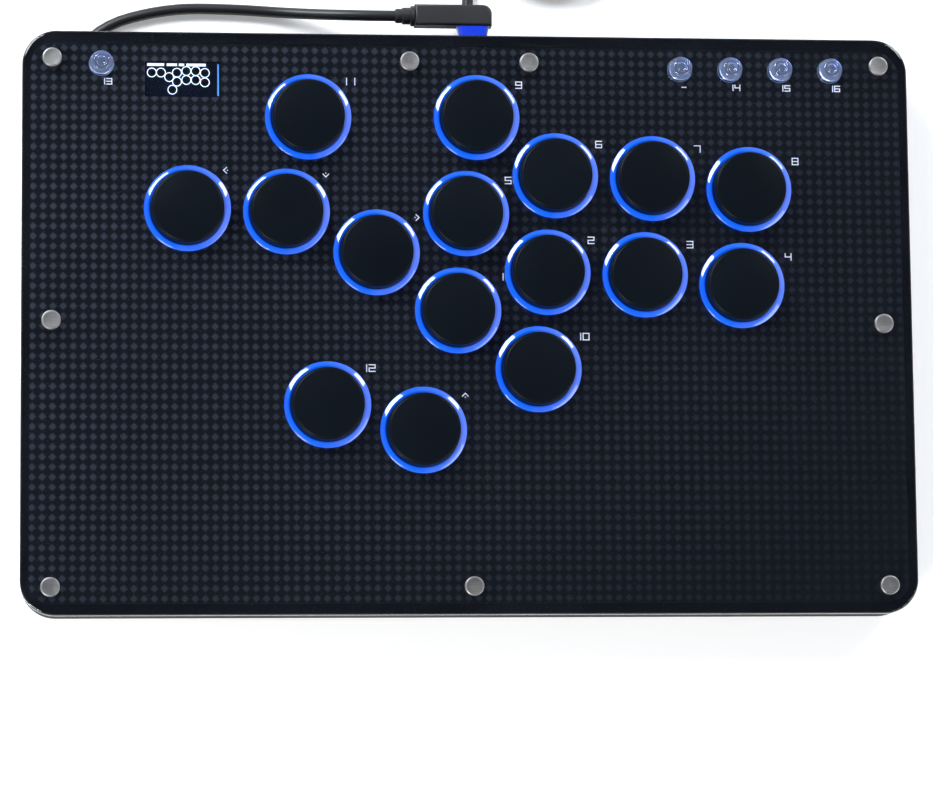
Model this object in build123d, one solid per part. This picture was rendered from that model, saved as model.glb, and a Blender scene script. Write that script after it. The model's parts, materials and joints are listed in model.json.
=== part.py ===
from build123d import *
import math
import os

# Leverless arcade control panel. Sizes are in millimetres.
# The panel lies flat. Z is up, X runs along its length and +Y points to its back edge.
# The origin is on the table, under the middle of the panel.

# Overall
PANEL_LENGTH = 300.0
PANEL_DEPTH = 196.0
CORNER_RADIUS = 11.5
FOOT_HEIGHT = 6.0
BODY_HEIGHT = 13.0
COVER_THICKNESS = 3.0
COVER_EDGE_RADIUS = 0.9

# Body shell
SHELL_FLOOR = 2.0
SHELL_WALL = 4.5
LEDGE_WIDTH = 2.0
SHELL_CHAMFER = 0.6
BOARD_BOSS_HEIGHT = 0.8
BOARD_BOSS_RADIUS = 3.0
FIT_GAP = 0.3
SNUG_GAP = 0.1

# Fasteners and posts
SCREW_INSET_X = 10.0
SCREW_INSET_Y = 9.4
SCREW_MIDDLE_X = 20.25
SCREW_RADIUS = 1.45
SCREW_THREAD_LENGTH = 8.0
SCREW_HOLE_RADIUS = 1.65
SCREW_HEAD_RADIUS = 3.2
SCREW_HEAD_HEIGHT = 1.5
SCREW_HEAD_CHAMFER = 0.35
BASE_SCREW_HEAD_RADIUS = 2.7
BASE_SCREW_HEAD_HEIGHT = 1.2
SCREW_END_GAP = 1.3
BASE_SCREW_LENGTH = (BODY_HEIGHT + COVER_THICKNESS - SCREW_THREAD_LENGTH
                     - BASE_SCREW_HEAD_HEIGHT - SCREW_END_GAP)
HEX_KEY_RADIUS = 1.1
HEX_KEY_DEPTH = 0.7
POST_RADIUS = 3.0
POST_BORE_RADIUS = 1.5

# Feet
FOOT_RADIUS = 8.0
FOOT_INSET_X = 38.0
FOOT_INSET_Y = 20.0
FOOT_RECESS = 0.4
FOOT_EDGE = 0.8

# Printed sheet
SHEET_THICKNESS = 0.3
SHEET_INSET_X = 2.8
SHEET_INSET_Y = 3.9

# Switch plate and main board
PLATE_THICKNESS = 1.2
BOARD_THICKNESS = 1.6
BOARD_MARGIN_X = 15.0
BOARD_MARGIN_FRONT = 14.0
BOARD_TO_PLATE = 2.0

# Buttons: spacing and directions between neighbours, in degrees from +X
BUTTON_PITCH = 33.05
COLUMN_LEAN = 84.8
FIRST_BUTTON = (-1.6, 36.7)
THUMB_BUTTON = (-16.5, -36.5)
CAP_RADIUS = 12.15
CAP_EDGE_HEIGHT = 5.0
CAP_DOME = 0.95
CAP_EDGE_RADIUS = 1.1
CAP_WALL = 1.55
CAP_TOP_WALL = 1.6
CAP_SKIRT_BELOW_COVER = 0.8
CAP_GAP = 0.45
BOSS_RADIUS = 4.6
COLLAR_WALL = 1.0
COLLAR_FLANGE = 0.9
COLLAR_EDGE_HEIGHT = 1.0
COLLAR_CREST = 0.6
COLLAR_TO_PLATE = 0.6
BUTTON_TRAVEL = 3.0

# Switches
SWITCH_WIDTH = 13.8
SWITCH_WALL = 1.2
SWITCH_FLANGE_OVERHANG = 0.6
SWITCH_FLANGE_WIDTH = SWITCH_WIDTH + 2 * SWITCH_FLANGE_OVERHANG
SWITCH_FLANGE_HEIGHT = 0.8
SWITCH_TOP_HEIGHT = 3.2
SWITCH_ROOF = 0.8
SWITCH_CHAMFER = 0.5
SWITCH_BASE_FLOOR = 0.8
STEM_LENGTH = 8.0
STEM_WIDTH = 6.0
STEM_SIDE_GAP = 0.15
STEM_FLANGE = 1.2
STEM_RISE = 3.2
STEM_STOP_GAP = 0.1
STEM_ROOF_GAP = 0.05
PEG_LENGTH = 1.1
PEG_WIDTH = 2.9
PEG_DEPTH = 1.9
PEG_OFFSET = 2.85
PEG_GAP = 0.05
SPRING_RADIUS = 1.55
SPRING_WIRE = 0.22
SPRING_BORE = 2.05
SPRING_BORE_DEPTH = 3.4
SPRING_TURNS = 4.5
PIN_RADIUS = 0.45
PIN_OFFSET = 5.0
PIN_BELOW_BOARD = 0.3
CENTRE_PIN_RADIUS = 1.5
LIGHT_OFFSET = 9.8
LIGHT_CHIP = 2.8
LIGHT_CHIP_HEIGHT = 1.2
LIGHT_HOLE_RADIUS = 1.6
CONTROLLER_CHIPS = [((70.0, -50.0), (7.0, 7.0, 0.9)), ((86.0, -50.0), (5.0, 4.0, 0.9))]

# Function buttons
FUNCTION_INSET_X = 26.4
FUNCTION_INSET_Y = 10.85
FUNCTION_PITCH = 17.2
FUNCTION_CAP_RADIUS = 3.85
FUNCTION_CAP_GAP = 0.2
FUNCTION_CAP_HEIGHT = 3.0
FUNCTION_DOME_EDGE = 1.3
FUNCTION_DIMPLE_RADIUS = 1.5
FUNCTION_FLANGE_RADIUS = 5.2
FUNCTION_FLANGE_HEIGHT = 1.0
FUNCTION_FLANGE_DROP = 0.5
FUNCTION_POST_RADIUS = 1.7
FUNCTION_TRAVEL = 0.3
TACT_WIDTH = 6.0
TACT_HEIGHT = 3.5
TACT_BORE_DEPTH = 1.0
TACT_POST_REST_GAP = 0.1
TACT_PLATE_HOLE = 7.0

# Display
DISPLAY_INSET_X = 53.5
DISPLAY_INSET_Y = 15.8
DISPLAY_WINDOW = (25.2, 12.2)
DISPLAY_GLASS = (26.4, 15.0, 1.45)
DISPLAY_BOARD = (29.0, 20.0, 1.2)
DISPLAY_GAP = 0.05
DISPLAY_LEG_RADIUS = 1.2
DISPLAY_LEG_INSET = 2.0

# Socket and the plug in it
SOCKET_X = 2.2
SOCKET_WIDTH = 8.94
SOCKET_HEIGHT = 3.26
SOCKET_LENGTH = 7.35
SOCKET_WALL = 0.3
SOCKET_BACK_WALL = 0.85
TONGUE_ROOT = 0.25
SOCKET_SET_BACK = 0.2
SOCKET_POCKET_WIDTH = 16.0
SOCKET_POCKET_WALL = 2.0
TONGUE = (6.6, 4.4, 0.7)
PLUG_SHELL_WIDTH = 8.2
PLUG_SHELL_HEIGHT = 2.4
PLUG_SHELL_WALL = 0.45
PLUG_SHELL_REACH = 5.4
PLUG_NOSE_WIDTH = 11.2
PLUG_NOSE_HEIGHT = 5.4
PLUG_NOSE_GAP = 0.6
PLUG_NOSE_LENGTH = 4.3
PLUG_NOSE_EDGE = 1.6
GRIP_LENGTH = 26.3
GRIP_DEPTH = 7.2
GRIP_HEIGHT = 7.0
GRIP_RIGHT_OF_SOCKET = 6.4
GRIP_EDGE = 0.96
NECK_LENGTH = 6.6
NECK_RADIUS = 2.7
NECK_END_RADIUS = 2.2

# Cord
CORD_DIAMETER = 3.8
COIL_MIDDLE_RADIUS = 22.8
COIL_ACROSS = 4
COIL_LAYERS = 2
COIL_CENTRE = (30.7, 147.5)
COIL_EDGE = 1.6
CORD_LIMIT_RADIUS = 5.0
FAR_PLUG_GRIP = (24.0, 16.0, 8.0)
FAR_PLUG_SHELL = (12.5, 12.0, 4.5)
FAR_PLUG_TAIL = 12.0
FAR_PLUG_TAIL_RADIUS = 2.6
FAR_PLUG_X = 54.7
FAR_PLUG_EDGE = 1.4

# Where each layer of the panel lies, worked out from the sizes above
BASE_Z = FOOT_HEIGHT
INSIDE_Z = BASE_Z + SHELL_FLOOR
COVER_Z = BASE_Z + BODY_HEIGHT
TOP_Z = COVER_Z + COVER_THICKNESS
SHEET_Z = COVER_Z - SHEET_THICKNESS
BOARD_Z = INSIDE_Z + BOARD_BOSS_HEIGHT
BOARD_TOP = BOARD_Z + BOARD_THICKNESS
PLATE_Z = BOARD_TOP + BOARD_TO_PLATE
PLATE_TOP = PLATE_Z + PLATE_THICKNESS
HALF_X = PANEL_LENGTH / 2
HALF_Y = PANEL_DEPTH / 2
COLLAR_INNER = CAP_RADIUS + CAP_GAP
COLLAR_BARREL = COLLAR_INNER + COLLAR_WALL
SWITCH_TOP_Z = PLATE_TOP + SWITCH_TOP_HEIGHT
STEM_TOP_Z = SWITCH_TOP_Z + STEM_RISE
SOCKET_Z = BOARD_TOP + SOCKET_HEIGHT / 2
NOSE_Y = HALF_Y + PLUG_NOSE_GAP
GRIP_Y = NOSE_Y + PLUG_NOSE_LENGTH
GRIP_END_X = SOCKET_X + GRIP_RIGHT_OF_SOCKET
NECK_X = GRIP_END_X - GRIP_LENGTH
CORD_START_X = NECK_X - NECK_LENGTH
CORD_Y = GRIP_Y + GRIP_DEPTH / 2
CORD_REST = CORD_DIAMETER / 2 + 0.02
WINDING_RADIUS = CORD_DIAMETER * COIL_ACROSS / 2
OUTER_TURN_RADIUS = COIL_MIDDLE_RADIUS + WINDING_RADIUS - CORD_DIAMETER / 2

# Route of the cord from the plug's neck to the coil. It falls to the table behind the panel, goes under
# it round the left rear foot and comes out under the plug.
CORD_POINTS = [
    (CORD_START_X, CORD_Y, SOCKET_Z),
    (-40.0, CORD_Y, SOCKET_Z),
    (-60.0, 109.2, 2.2),
    (-80.0, 110.5, CORD_REST),
    (-102.0, 110.4, CORD_REST),
    (-126.0, 103.5, CORD_REST),
    (-138.0, 84.0, CORD_REST),
    (-132.5, 62.0, CORD_REST),
    (-112.0, 52.0, CORD_REST),
    (-75.0, 54.0, CORD_REST),
    (-42.0, 61.0, CORD_REST),
    (-16.0, 71.0, CORD_REST),
    (-1.5, 89.0, CORD_REST),
    (1.9, 112.0, CORD_REST),
    (2.2, 139.0, CORD_REST),
]


def block(centre, size, z):
    """A box with its middle over centre and its underside at z."""
    return Pos(centre[0], centre[1], z + size[2] / 2) * Box(size[0], size[1], size[2])


def disc(centre, radius, z, height):
    """An upright cylinder with its underside at z."""
    return Pos(centre[0], centre[1], z + height / 2) * Cylinder(radius, height)


def slab(length, depth, radius, z, height):
    """A flat plate with round corners, centred on the panel."""
    outline = Plane.XY.offset(z) * RectangleRounded(length, depth, radius)
    return extrude(outline, height)


def turned(outline):
    """A solid turned about Z from (radius, height) points."""
    return revolve(Plane.XZ * make_face(Polyline(*outline, close=True)), Axis.Z)


def edges_at(shape, z):
    """The edges that lie wholly at one height."""
    return shape.edges().filter_by_position(Axis.Z, z - 0.001, z + 0.001)


def save(name, pieces):
    """Writes one node, made of one or more separate solids."""
    pieces = pieces if isinstance(pieces, list) else [pieces]
    solids = [solid for piece in pieces for solid in piece.solids()]
    export_step(solids[0] if len(solids) == 1 else Compound(solids), f"parts/{name}.step")


def step_from(start, direction):
    """The place one button pitch away from start."""
    angle = math.radians(direction)
    return start[0] + BUTTON_PITCH * math.cos(angle), start[1] + BUTTON_PITCH * math.sin(angle)


def button_places():
    """Name and centre of every game button, each placed from its neighbour."""
    rule = [
        ("action_1", "action_5", COLUMN_LEAN + 180.0),
        ("extra_1", "action_5", 83.3),
        ("action_2", "action_1", 23.4),
        ("action_6", "action_2", COLUMN_LEAN),
        ("extra_2", "action_2", COLUMN_LEAN + 179.2),
        ("action_3", "action_2", -1.2),
        ("action_7", "action_3", COLUMN_LEAN),
        ("action_4", "action_3", -6.0),
        ("action_8", "action_4", COLUMN_LEAN),
        ("right", "action_5", 203.9),
        ("down", "right", 155.6),
        ("left", "down", 178.5),
        ("extra_3", "down", 77.1),
        ("extra_4", "up", 165.2),
    ]
    places = {"action_5": FIRST_BUTTON, "up": THUMB_BUTTON}
    for name, neighbour, direction in rule:
        places[name] = step_from(places[neighbour], direction)
    return places


def function_places():
    """Name and centre of every function button: one at the left, four in a row at the right."""
    y = HALF_Y - FUNCTION_INSET_Y
    places = {"function_1": (-HALF_X + FUNCTION_INSET_X, y)}
    for i in range(4):
        places[f"function_{i + 2}"] = (HALF_X - FUNCTION_INSET_X - (3 - i) * FUNCTION_PITCH, y)
    return places


def screw_places():
    """Centres of the fasteners along the edges of the panel."""
    x = HALF_X - SCREW_INSET_X
    y = HALF_Y - SCREW_INSET_Y
    corners = [(-x, y), (x, y), (-x, -y), (x, -y)]
    return corners + [(-SCREW_MIDDLE_X, y), (SCREW_MIDDLE_X, y), (0.0, -y), (-x, 0.0), (x, 0.0)]


def foot_places():
    """Centres of the four feet."""
    x = HALF_X - FOOT_INSET_X
    y = HALF_Y - FOOT_INSET_Y
    return [(-x, y), (x, y), (-x, -y), (x, -y)]


BUTTONS = button_places()
FUNCTIONS = function_places()
SCREWS = screw_places()
FEET = foot_places()
DISPLAY = (-HALF_X + DISPLAY_INSET_X, HALF_Y - DISPLAY_INSET_Y)


def bottom_shell():
    """Open tray with a ledge for the switch plate and a pocket behind the socket."""
    shell = slab(PANEL_LENGTH, PANEL_DEPTH, CORNER_RADIUS, BASE_Z, BODY_HEIGHT)
    deep = SHELL_WALL + LEDGE_WIDTH
    shell -= slab(PANEL_LENGTH - 2 * deep, PANEL_DEPTH - 2 * deep, CORNER_RADIUS - deep, INSIDE_Z, BODY_HEIGHT)
    wide = (PANEL_LENGTH - 2 * SHELL_WALL, PANEL_DEPTH - 2 * SHELL_WALL)
    shell -= slab(wide[0], wide[1], CORNER_RADIUS - SHELL_WALL, PLATE_Z, BODY_HEIGHT)
    sheet_outline = (PANEL_LENGTH - 2 * SHEET_INSET_X, PANEL_DEPTH - 2 * SHEET_INSET_Y)
    shell -= slab(sheet_outline[0], sheet_outline[1], CORNER_RADIUS - SHEET_INSET_Y, SHEET_Z, BODY_HEIGHT)
    post_room = POST_RADIUS + SNUG_GAP
    shell -= [disc(p, post_room, INSIDE_Z, BODY_HEIGHT) for p in SCREWS]
    pocket_front = HALF_Y - deep - FIT_GAP
    pocket_back = HALF_Y - SOCKET_POCKET_WALL
    pocket_size = (SOCKET_POCKET_WIDTH, pocket_back - pocket_front, SHEET_Z - INSIDE_Z)
    shell -= block((SOCKET_X, (pocket_front + pocket_back) / 2), pocket_size, INSIDE_Z)
    mouth = (SOCKET_WIDTH + 2 * FIT_GAP, 2 * SOCKET_POCKET_WALL + 1, SOCKET_HEIGHT + 2 * FIT_GAP)
    shell -= block((SOCKET_X, HALF_Y), mouth, SOCKET_Z - mouth[2] / 2)
    shell -= [disc(p, SCREW_HOLE_RADIUS, BASE_Z - 1, SHELL_FLOOR + 2) for p in SCREWS]
    head = BASE_SCREW_HEAD_RADIUS + SNUG_GAP
    shell -= [disc(p, head, BASE_Z - 1, BASE_SCREW_HEAD_HEIGHT + 1) for p in SCREWS]
    shell -= [disc(p, FOOT_RADIUS + SNUG_GAP, BASE_Z - 1, FOOT_RECESS + 1) for p in FEET]
    bosses = [disc((x, y), BOARD_BOSS_RADIUS, INSIDE_Z, BOARD_BOSS_HEIGHT) for x, y in boss_places()]
    shell += bosses
    return chamfer(edges_at(shell, BASE_Z).filter_by(GeomType.LINE), SHELL_CHAMFER)


def boss_places():
    """Places where the main board rests on the shell's floor."""
    x = HALF_X - BOARD_MARGIN_X - 2 * BOARD_BOSS_RADIUS
    y = HALF_Y - BOARD_MARGIN_FRONT - 2 * BOARD_BOSS_RADIUS
    return [(-x, -y), (x, -y), (0.0, -y), (-x, y), (x, y)]


def clear_cover():
    """Clear top plate with a rounded upper edge."""
    cover = slab(PANEL_LENGTH, PANEL_DEPTH, CORNER_RADIUS, COVER_Z, COVER_THICKNESS)
    cover = fillet(edges_at(cover, TOP_Z), COVER_EDGE_RADIUS)
    high = COVER_THICKNESS + 2
    cuts = [disc(p, COLLAR_BARREL + SNUG_GAP, COVER_Z - 1, high) for p in BUTTONS.values()]
    cuts += [disc(p, FUNCTION_CAP_RADIUS + FUNCTION_CAP_GAP, COVER_Z - 1, high) for p in FUNCTIONS.values()]
    cuts += [disc(p, SCREW_HOLE_RADIUS, COVER_Z - 1, high) for p in SCREWS]
    return cover - cuts


def art_sheet():
    """Printed sheet under the clear cover, with the display's window."""
    length = PANEL_LENGTH - 2 * SHEET_INSET_X - 2 * SNUG_GAP
    depth = PANEL_DEPTH - 2 * SHEET_INSET_Y - 2 * SNUG_GAP
    radius = CORNER_RADIUS - SHEET_INSET_Y - SNUG_GAP
    sheet = slab(length, depth, radius, SHEET_Z, SHEET_THICKNESS)
    high = SHEET_THICKNESS + 2
    cuts = [disc(p, COLLAR_BARREL + FIT_GAP, SHEET_Z - 1, high) for p in BUTTONS.values()]
    cuts += [disc(p, FUNCTION_CAP_RADIUS + 2 * FUNCTION_CAP_GAP, SHEET_Z - 1, high) for p in FUNCTIONS.values()]
    cuts += [disc(p, SCREW_HOLE_RADIUS, SHEET_Z - 1, high) for p in SCREWS]
    cuts += [block(DISPLAY, (DISPLAY_WINDOW[0], DISPLAY_WINDOW[1], high), SHEET_Z - 1)]
    return sheet - cuts


def switch_plate():
    """Metal plate that the switches snap into."""
    clear = 2 * (SHELL_WALL + FIT_GAP)
    radius = CORNER_RADIUS - SHELL_WALL - FIT_GAP
    plate = slab(PANEL_LENGTH - clear, PANEL_DEPTH - clear, radius, PLATE_Z, PLATE_THICKNESS)
    high = PLATE_THICKNESS + 2
    hole = SWITCH_WIDTH + 2 * SNUG_GAP
    cuts = [block(p, (hole, hole, high), PLATE_Z - 1) for p in BUTTONS.values()]
    cuts += [disc((x, y + LIGHT_OFFSET), LIGHT_HOLE_RADIUS, PLATE_Z - 1, high) for x, y in BUTTONS.values()]
    cuts += [block(p, (TACT_PLATE_HOLE, TACT_PLATE_HOLE, high), PLATE_Z - 1) for p in FUNCTIONS.values()]
    cuts += [disc(p, POST_RADIUS + FIT_GAP, PLATE_Z - 1, high) for p in SCREWS]
    notch = (SOCKET_WIDTH + 4 * FIT_GAP, 2 * (SOCKET_LENGTH + SOCKET_SET_BACK + FIT_GAP), high)
    cuts += [block((SOCKET_X, HALF_Y), notch, PLATE_Z - 1)]
    return plate - cuts


def main_board():
    """Circuit board with a tab that carries the socket."""
    half_length = HALF_X - BOARD_MARGIN_X
    front = -HALF_Y + BOARD_MARGIN_FRONT
    back = HALF_Y - SHELL_WALL - LEDGE_WIDTH - FIT_GAP
    board = block((0.0, (front + back) / 2), (2 * half_length, back - front, BOARD_THICKNESS), BOARD_Z)
    tab_back = HALF_Y - SOCKET_POCKET_WALL - FIT_GAP
    tab = (SOCKET_POCKET_WIDTH - 2 * FIT_GAP, tab_back - back + 2.0, BOARD_THICKNESS)
    board += block((SOCKET_X, tab_back - tab[1] / 2), tab, BOARD_Z)
    high = BOARD_THICKNESS + 2
    cuts = [disc(p, POST_RADIUS + FIT_GAP, BOARD_Z - 1, high) for p in SCREWS]
    for x, y in BUTTONS.values():
        cuts.append(disc((x, y), CENTRE_PIN_RADIUS + SNUG_GAP, BOARD_Z - 1, high))
        cuts.append(disc((x - PIN_OFFSET, y), PIN_RADIUS + SNUG_GAP, BOARD_Z - 1, high))
        cuts.append(disc((x + PIN_OFFSET, y), PIN_RADIUS + SNUG_GAP, BOARD_Z - 1, high))
    return board - cuts


def switch_base():
    """Lower half of a switch at the origin's X and Y, with its pins."""
    height = PLATE_TOP - BOARD_TOP
    base = block((0, 0), (SWITCH_WIDTH, SWITCH_WIDTH, height), BOARD_TOP)
    inner = SWITCH_WIDTH - 2 * SWITCH_WALL
    base -= block((0, 0), (inner, inner, height), BOARD_TOP + SWITCH_BASE_FLOOR)
    pin_z = BOARD_Z - PIN_BELOW_BOARD
    base += disc((0, 0), CENTRE_PIN_RADIUS, BOARD_Z, BOARD_THICKNESS)
    base += disc((-PIN_OFFSET, 0), PIN_RADIUS, pin_z, BOARD_TOP - pin_z)
    base += disc((PIN_OFFSET, 0), PIN_RADIUS, pin_z, BOARD_TOP - pin_z)
    return base


def switch_top():
    """Upper half of a switch, with a flange on the plate and an opening for the stem."""
    top = block((0, 0), (SWITCH_FLANGE_WIDTH, SWITCH_FLANGE_WIDTH, SWITCH_FLANGE_HEIGHT), PLATE_TOP)
    top += block((0, 0), (SWITCH_WIDTH, SWITCH_WIDTH, SWITCH_TOP_HEIGHT), PLATE_TOP)
    top = chamfer(edges_at(top, SWITCH_TOP_Z), SWITCH_CHAMFER)
    inner = SWITCH_WIDTH - 2 * SWITCH_WALL
    top -= block((0, 0), (inner, inner, SWITCH_TOP_HEIGHT - SWITCH_ROOF), PLATE_TOP)
    opening = (STEM_LENGTH + 2 * STEM_SIDE_GAP, STEM_WIDTH + 2 * STEM_SIDE_GAP, SWITCH_TOP_HEIGHT + 1)
    return top - block((0, 0), opening, PLATE_TOP)


def stem():
    """Sliding stem with a flange under the switch's roof, a spring bore and two peg slots."""
    bottom = BOARD_TOP + SWITCH_BASE_FLOOR + STEM_STOP_GAP + BUTTON_TRAVEL
    flange_top = SWITCH_TOP_Z - SWITCH_ROOF - STEM_ROOF_GAP
    shape = block((0, 0), (STEM_LENGTH, STEM_WIDTH, STEM_TOP_Z - bottom), bottom)
    flange = (STEM_LENGTH + 2 * STEM_FLANGE, STEM_WIDTH + 2 * STEM_FLANGE, flange_top - bottom)
    shape += block((0, 0), flange, bottom)
    shape -= disc((0, 0), SPRING_BORE, bottom - 1, SPRING_BORE_DEPTH + 1)
    slot = (PEG_LENGTH + 2 * PEG_GAP, PEG_WIDTH + 2 * PEG_GAP, PEG_DEPTH + PEG_GAP)
    for side in (-1, 1):
        shape -= block((side * PEG_OFFSET, 0), slot, STEM_TOP_Z - slot[2])
    return shape


def cap():
    """Round plunger cap with a slightly domed top, a boss on the stem and two pegs."""
    edge_z = TOP_Z + CAP_EDGE_HEIGHT
    skirt_z = TOP_Z - CAP_SKIRT_BELOW_COVER
    dome_radius = (CAP_RADIUS ** 2 + CAP_DOME ** 2) / (2 * CAP_DOME)
    body = disc((0, 0), CAP_RADIUS, skirt_z, edge_z + CAP_DOME - skirt_z)
    body &= Pos(0, 0, edge_z + CAP_DOME - dome_radius) * Sphere(dome_radius)
    rounds = body.edges().filter_by(GeomType.CIRCLE).filter_by(lambda edge: edge.radius < CAP_RADIUS + 0.01)
    body = fillet(rounds.sort_by(Axis.Z)[-1], CAP_EDGE_RADIUS)
    body -= disc((0, 0), CAP_RADIUS - CAP_WALL, skirt_z - 1, edge_z - CAP_TOP_WALL - skirt_z + 1)
    body += disc((0, 0), BOSS_RADIUS, STEM_TOP_Z, edge_z - STEM_TOP_Z - CAP_TOP_WALL / 2)
    for side in (-1, 1):
        body += block((side * PEG_OFFSET, 0), (PEG_LENGTH, PEG_WIDTH, PEG_DEPTH + 1), STEM_TOP_Z - PEG_DEPTH)
    return body


def collar():
    """Clear light-guide ring: a barrel through the cover and a flange on top of it."""
    outer = COLLAR_BARREL + COLLAR_FLANGE
    foot = PLATE_TOP + COLLAR_TO_PLATE
    edge = TOP_Z + COLLAR_EDGE_HEIGHT
    crest = edge + COLLAR_CREST
    ring = turned([
        (COLLAR_INNER, foot),
        (COLLAR_BARREL, foot),
        (COLLAR_BARREL, TOP_Z),
        (outer, TOP_Z),
        (outer, edge - 0.3),
        (outer - 0.3, edge),
        (COLLAR_INNER + 0.5, crest),
        (COLLAR_INNER, crest - 0.4),
    ])
    return ring


def spring():
    """Return spring between the switch's floor and the end of the stem's bore."""
    bottom = BOARD_TOP + SWITCH_BASE_FLOOR + SPRING_WIRE + 0.02
    bore_end = BOARD_TOP + SWITCH_BASE_FLOOR + STEM_STOP_GAP + BUTTON_TRAVEL + SPRING_BORE_DEPTH
    height = bore_end - SPRING_WIRE - 0.02 - bottom
    line = Pos(0, 0, bottom) * Helix(height / SPRING_TURNS, height, SPRING_RADIUS)
    section = Plane(origin=line @ 0, z_dir=line % 0) * Circle(SPRING_WIRE)
    return sweep(section, path=line, is_frenet=True)


def function_cap():
    """Clear domed cap with a dimple, a flange under the cover and a post on the small switch."""
    flange_z = SHEET_Z - FUNCTION_FLANGE_DROP - FUNCTION_FLANGE_HEIGHT
    top_z = TOP_Z + FUNCTION_CAP_HEIGHT
    body = disc((0, 0), FUNCTION_CAP_RADIUS, flange_z, top_z - flange_z)
    body = fillet(edges_at(body, top_z), FUNCTION_DOME_EDGE)
    body += disc((0, 0), FUNCTION_FLANGE_RADIUS, flange_z, FUNCTION_FLANGE_HEIGHT)
    post_z = BOARD_TOP + TACT_HEIGHT - TACT_BORE_DEPTH + TACT_POST_REST_GAP + FUNCTION_TRAVEL
    body += disc((0, 0), FUNCTION_POST_RADIUS, post_z, flange_z - post_z + 0.5)
    return body - Pos(0, 0, top_z + FUNCTION_DIMPLE_RADIUS * 0.6) * Sphere(FUNCTION_DIMPLE_RADIUS)


def function_switch():
    """Small square switch under a function cap, with the bore that the cap's post works in."""
    body = block((0, 0), (TACT_WIDTH, TACT_WIDTH, TACT_HEIGHT), BOARD_TOP)
    bore = FUNCTION_POST_RADIUS + SNUG_GAP
    return body - disc((0, 0), bore, BOARD_TOP + TACT_HEIGHT - TACT_BORE_DEPTH, TACT_BORE_DEPTH + 1)


def cover_screw():
    """Plain flat-headed fastener for the clear cover."""
    head = disc((0, 0), SCREW_HEAD_RADIUS, TOP_Z, SCREW_HEAD_HEIGHT)
    head = chamfer(edges_at(head, TOP_Z + SCREW_HEAD_HEIGHT), SCREW_HEAD_CHAMFER)
    return head + disc((0, 0), SCREW_RADIUS, TOP_Z - SCREW_THREAD_LENGTH, SCREW_THREAD_LENGTH + 0.5)


def base_screw():
    """Sunk screw from below, with a hexagonal key recess."""
    body = disc((0, 0), BASE_SCREW_HEAD_RADIUS, BASE_Z, BASE_SCREW_HEAD_HEIGHT)
    body += disc((0, 0), SCREW_RADIUS, BASE_Z, BASE_SCREW_HEAD_HEIGHT + BASE_SCREW_LENGTH)
    return body - extrude(Plane.XY.offset(BASE_Z) * RegularPolygon(HEX_KEY_RADIUS, 6), HEX_KEY_DEPTH)


def post():
    """Threaded hexagonal post between the shell's floor and the printed sheet."""
    height = SHEET_Z - INSIDE_Z
    body = extrude(Plane.XY.offset(INSIDE_Z) * RegularPolygon(POST_RADIUS, 6), height)
    return body - disc((0, 0), POST_BORE_RADIUS, INSIDE_Z - 1, height + 2)


def foot():
    """Rubber foot set a little into the shell's floor."""
    body = disc((0, 0), FOOT_RADIUS, 0.0, FOOT_HEIGHT + FOOT_RECESS)
    return fillet(edges_at(body, 0.0), FOOT_EDGE)


def display_glass():
    """Display module just below the window in the sheet."""
    length, depth, height = DISPLAY_GLASS
    return block(DISPLAY, (length, depth, height), SHEET_Z - DISPLAY_GAP - height)


def display_board():
    """Small board under the display, on four legs."""
    length, depth, height = DISPLAY_BOARD
    z = SHEET_Z - DISPLAY_GAP - DISPLAY_GLASS[2] - height
    board = block(DISPLAY, (length, depth, height), z)
    for side_x in (-1, 1):
        for side_y in (-1, 1):
            x = DISPLAY[0] + side_x * (length / 2 - DISPLAY_LEG_INSET)
            y = DISPLAY[1] + side_y * (depth / 2 - DISPLAY_LEG_INSET)
            board += disc((x, y), DISPLAY_LEG_RADIUS, PLATE_TOP, z - PLATE_TOP + 0.5)
    return board


def board_chips():
    """Light chips, one beside each switch, and the controller chips, all on the main board."""
    chips = []
    for x, y in BUTTONS.values():
        chips.append(block((x, y + LIGHT_OFFSET), (LIGHT_CHIP, LIGHT_CHIP, LIGHT_CHIP_HEIGHT), BOARD_TOP))
    return chips + [block(place, size, BOARD_TOP) for place, size in CONTROLLER_CHIPS]


def usb_socket():
    """Flat oval socket on the board's tab, open to the back."""
    mouth_y = HALF_Y - SOCKET_SET_BACK
    middle = mouth_y - SOCKET_LENGTH / 2
    body = block((SOCKET_X, middle), (SOCKET_WIDTH, SOCKET_LENGTH, SOCKET_HEIGHT), BOARD_TOP)
    body = fillet(body.edges().filter_by(Axis.Y), SOCKET_HEIGHT / 2 - 0.3)
    inner = (SOCKET_WIDTH - 2 * SOCKET_WALL, SOCKET_LENGTH, SOCKET_HEIGHT - 2 * SOCKET_WALL)
    hollow = block((SOCKET_X, mouth_y - inner[1] / 2 + SOCKET_BACK_WALL), inner, SOCKET_Z - inner[2] / 2)
    body -= fillet(hollow.edges().filter_by(Axis.Y), inner[2] / 2 - 0.3)
    back = mouth_y - SOCKET_LENGTH + SOCKET_BACK_WALL - TONGUE_ROOT
    return body + block((SOCKET_X, back + TONGUE[1] / 2), TONGUE, SOCKET_Z - TONGUE[2] / 2)


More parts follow.
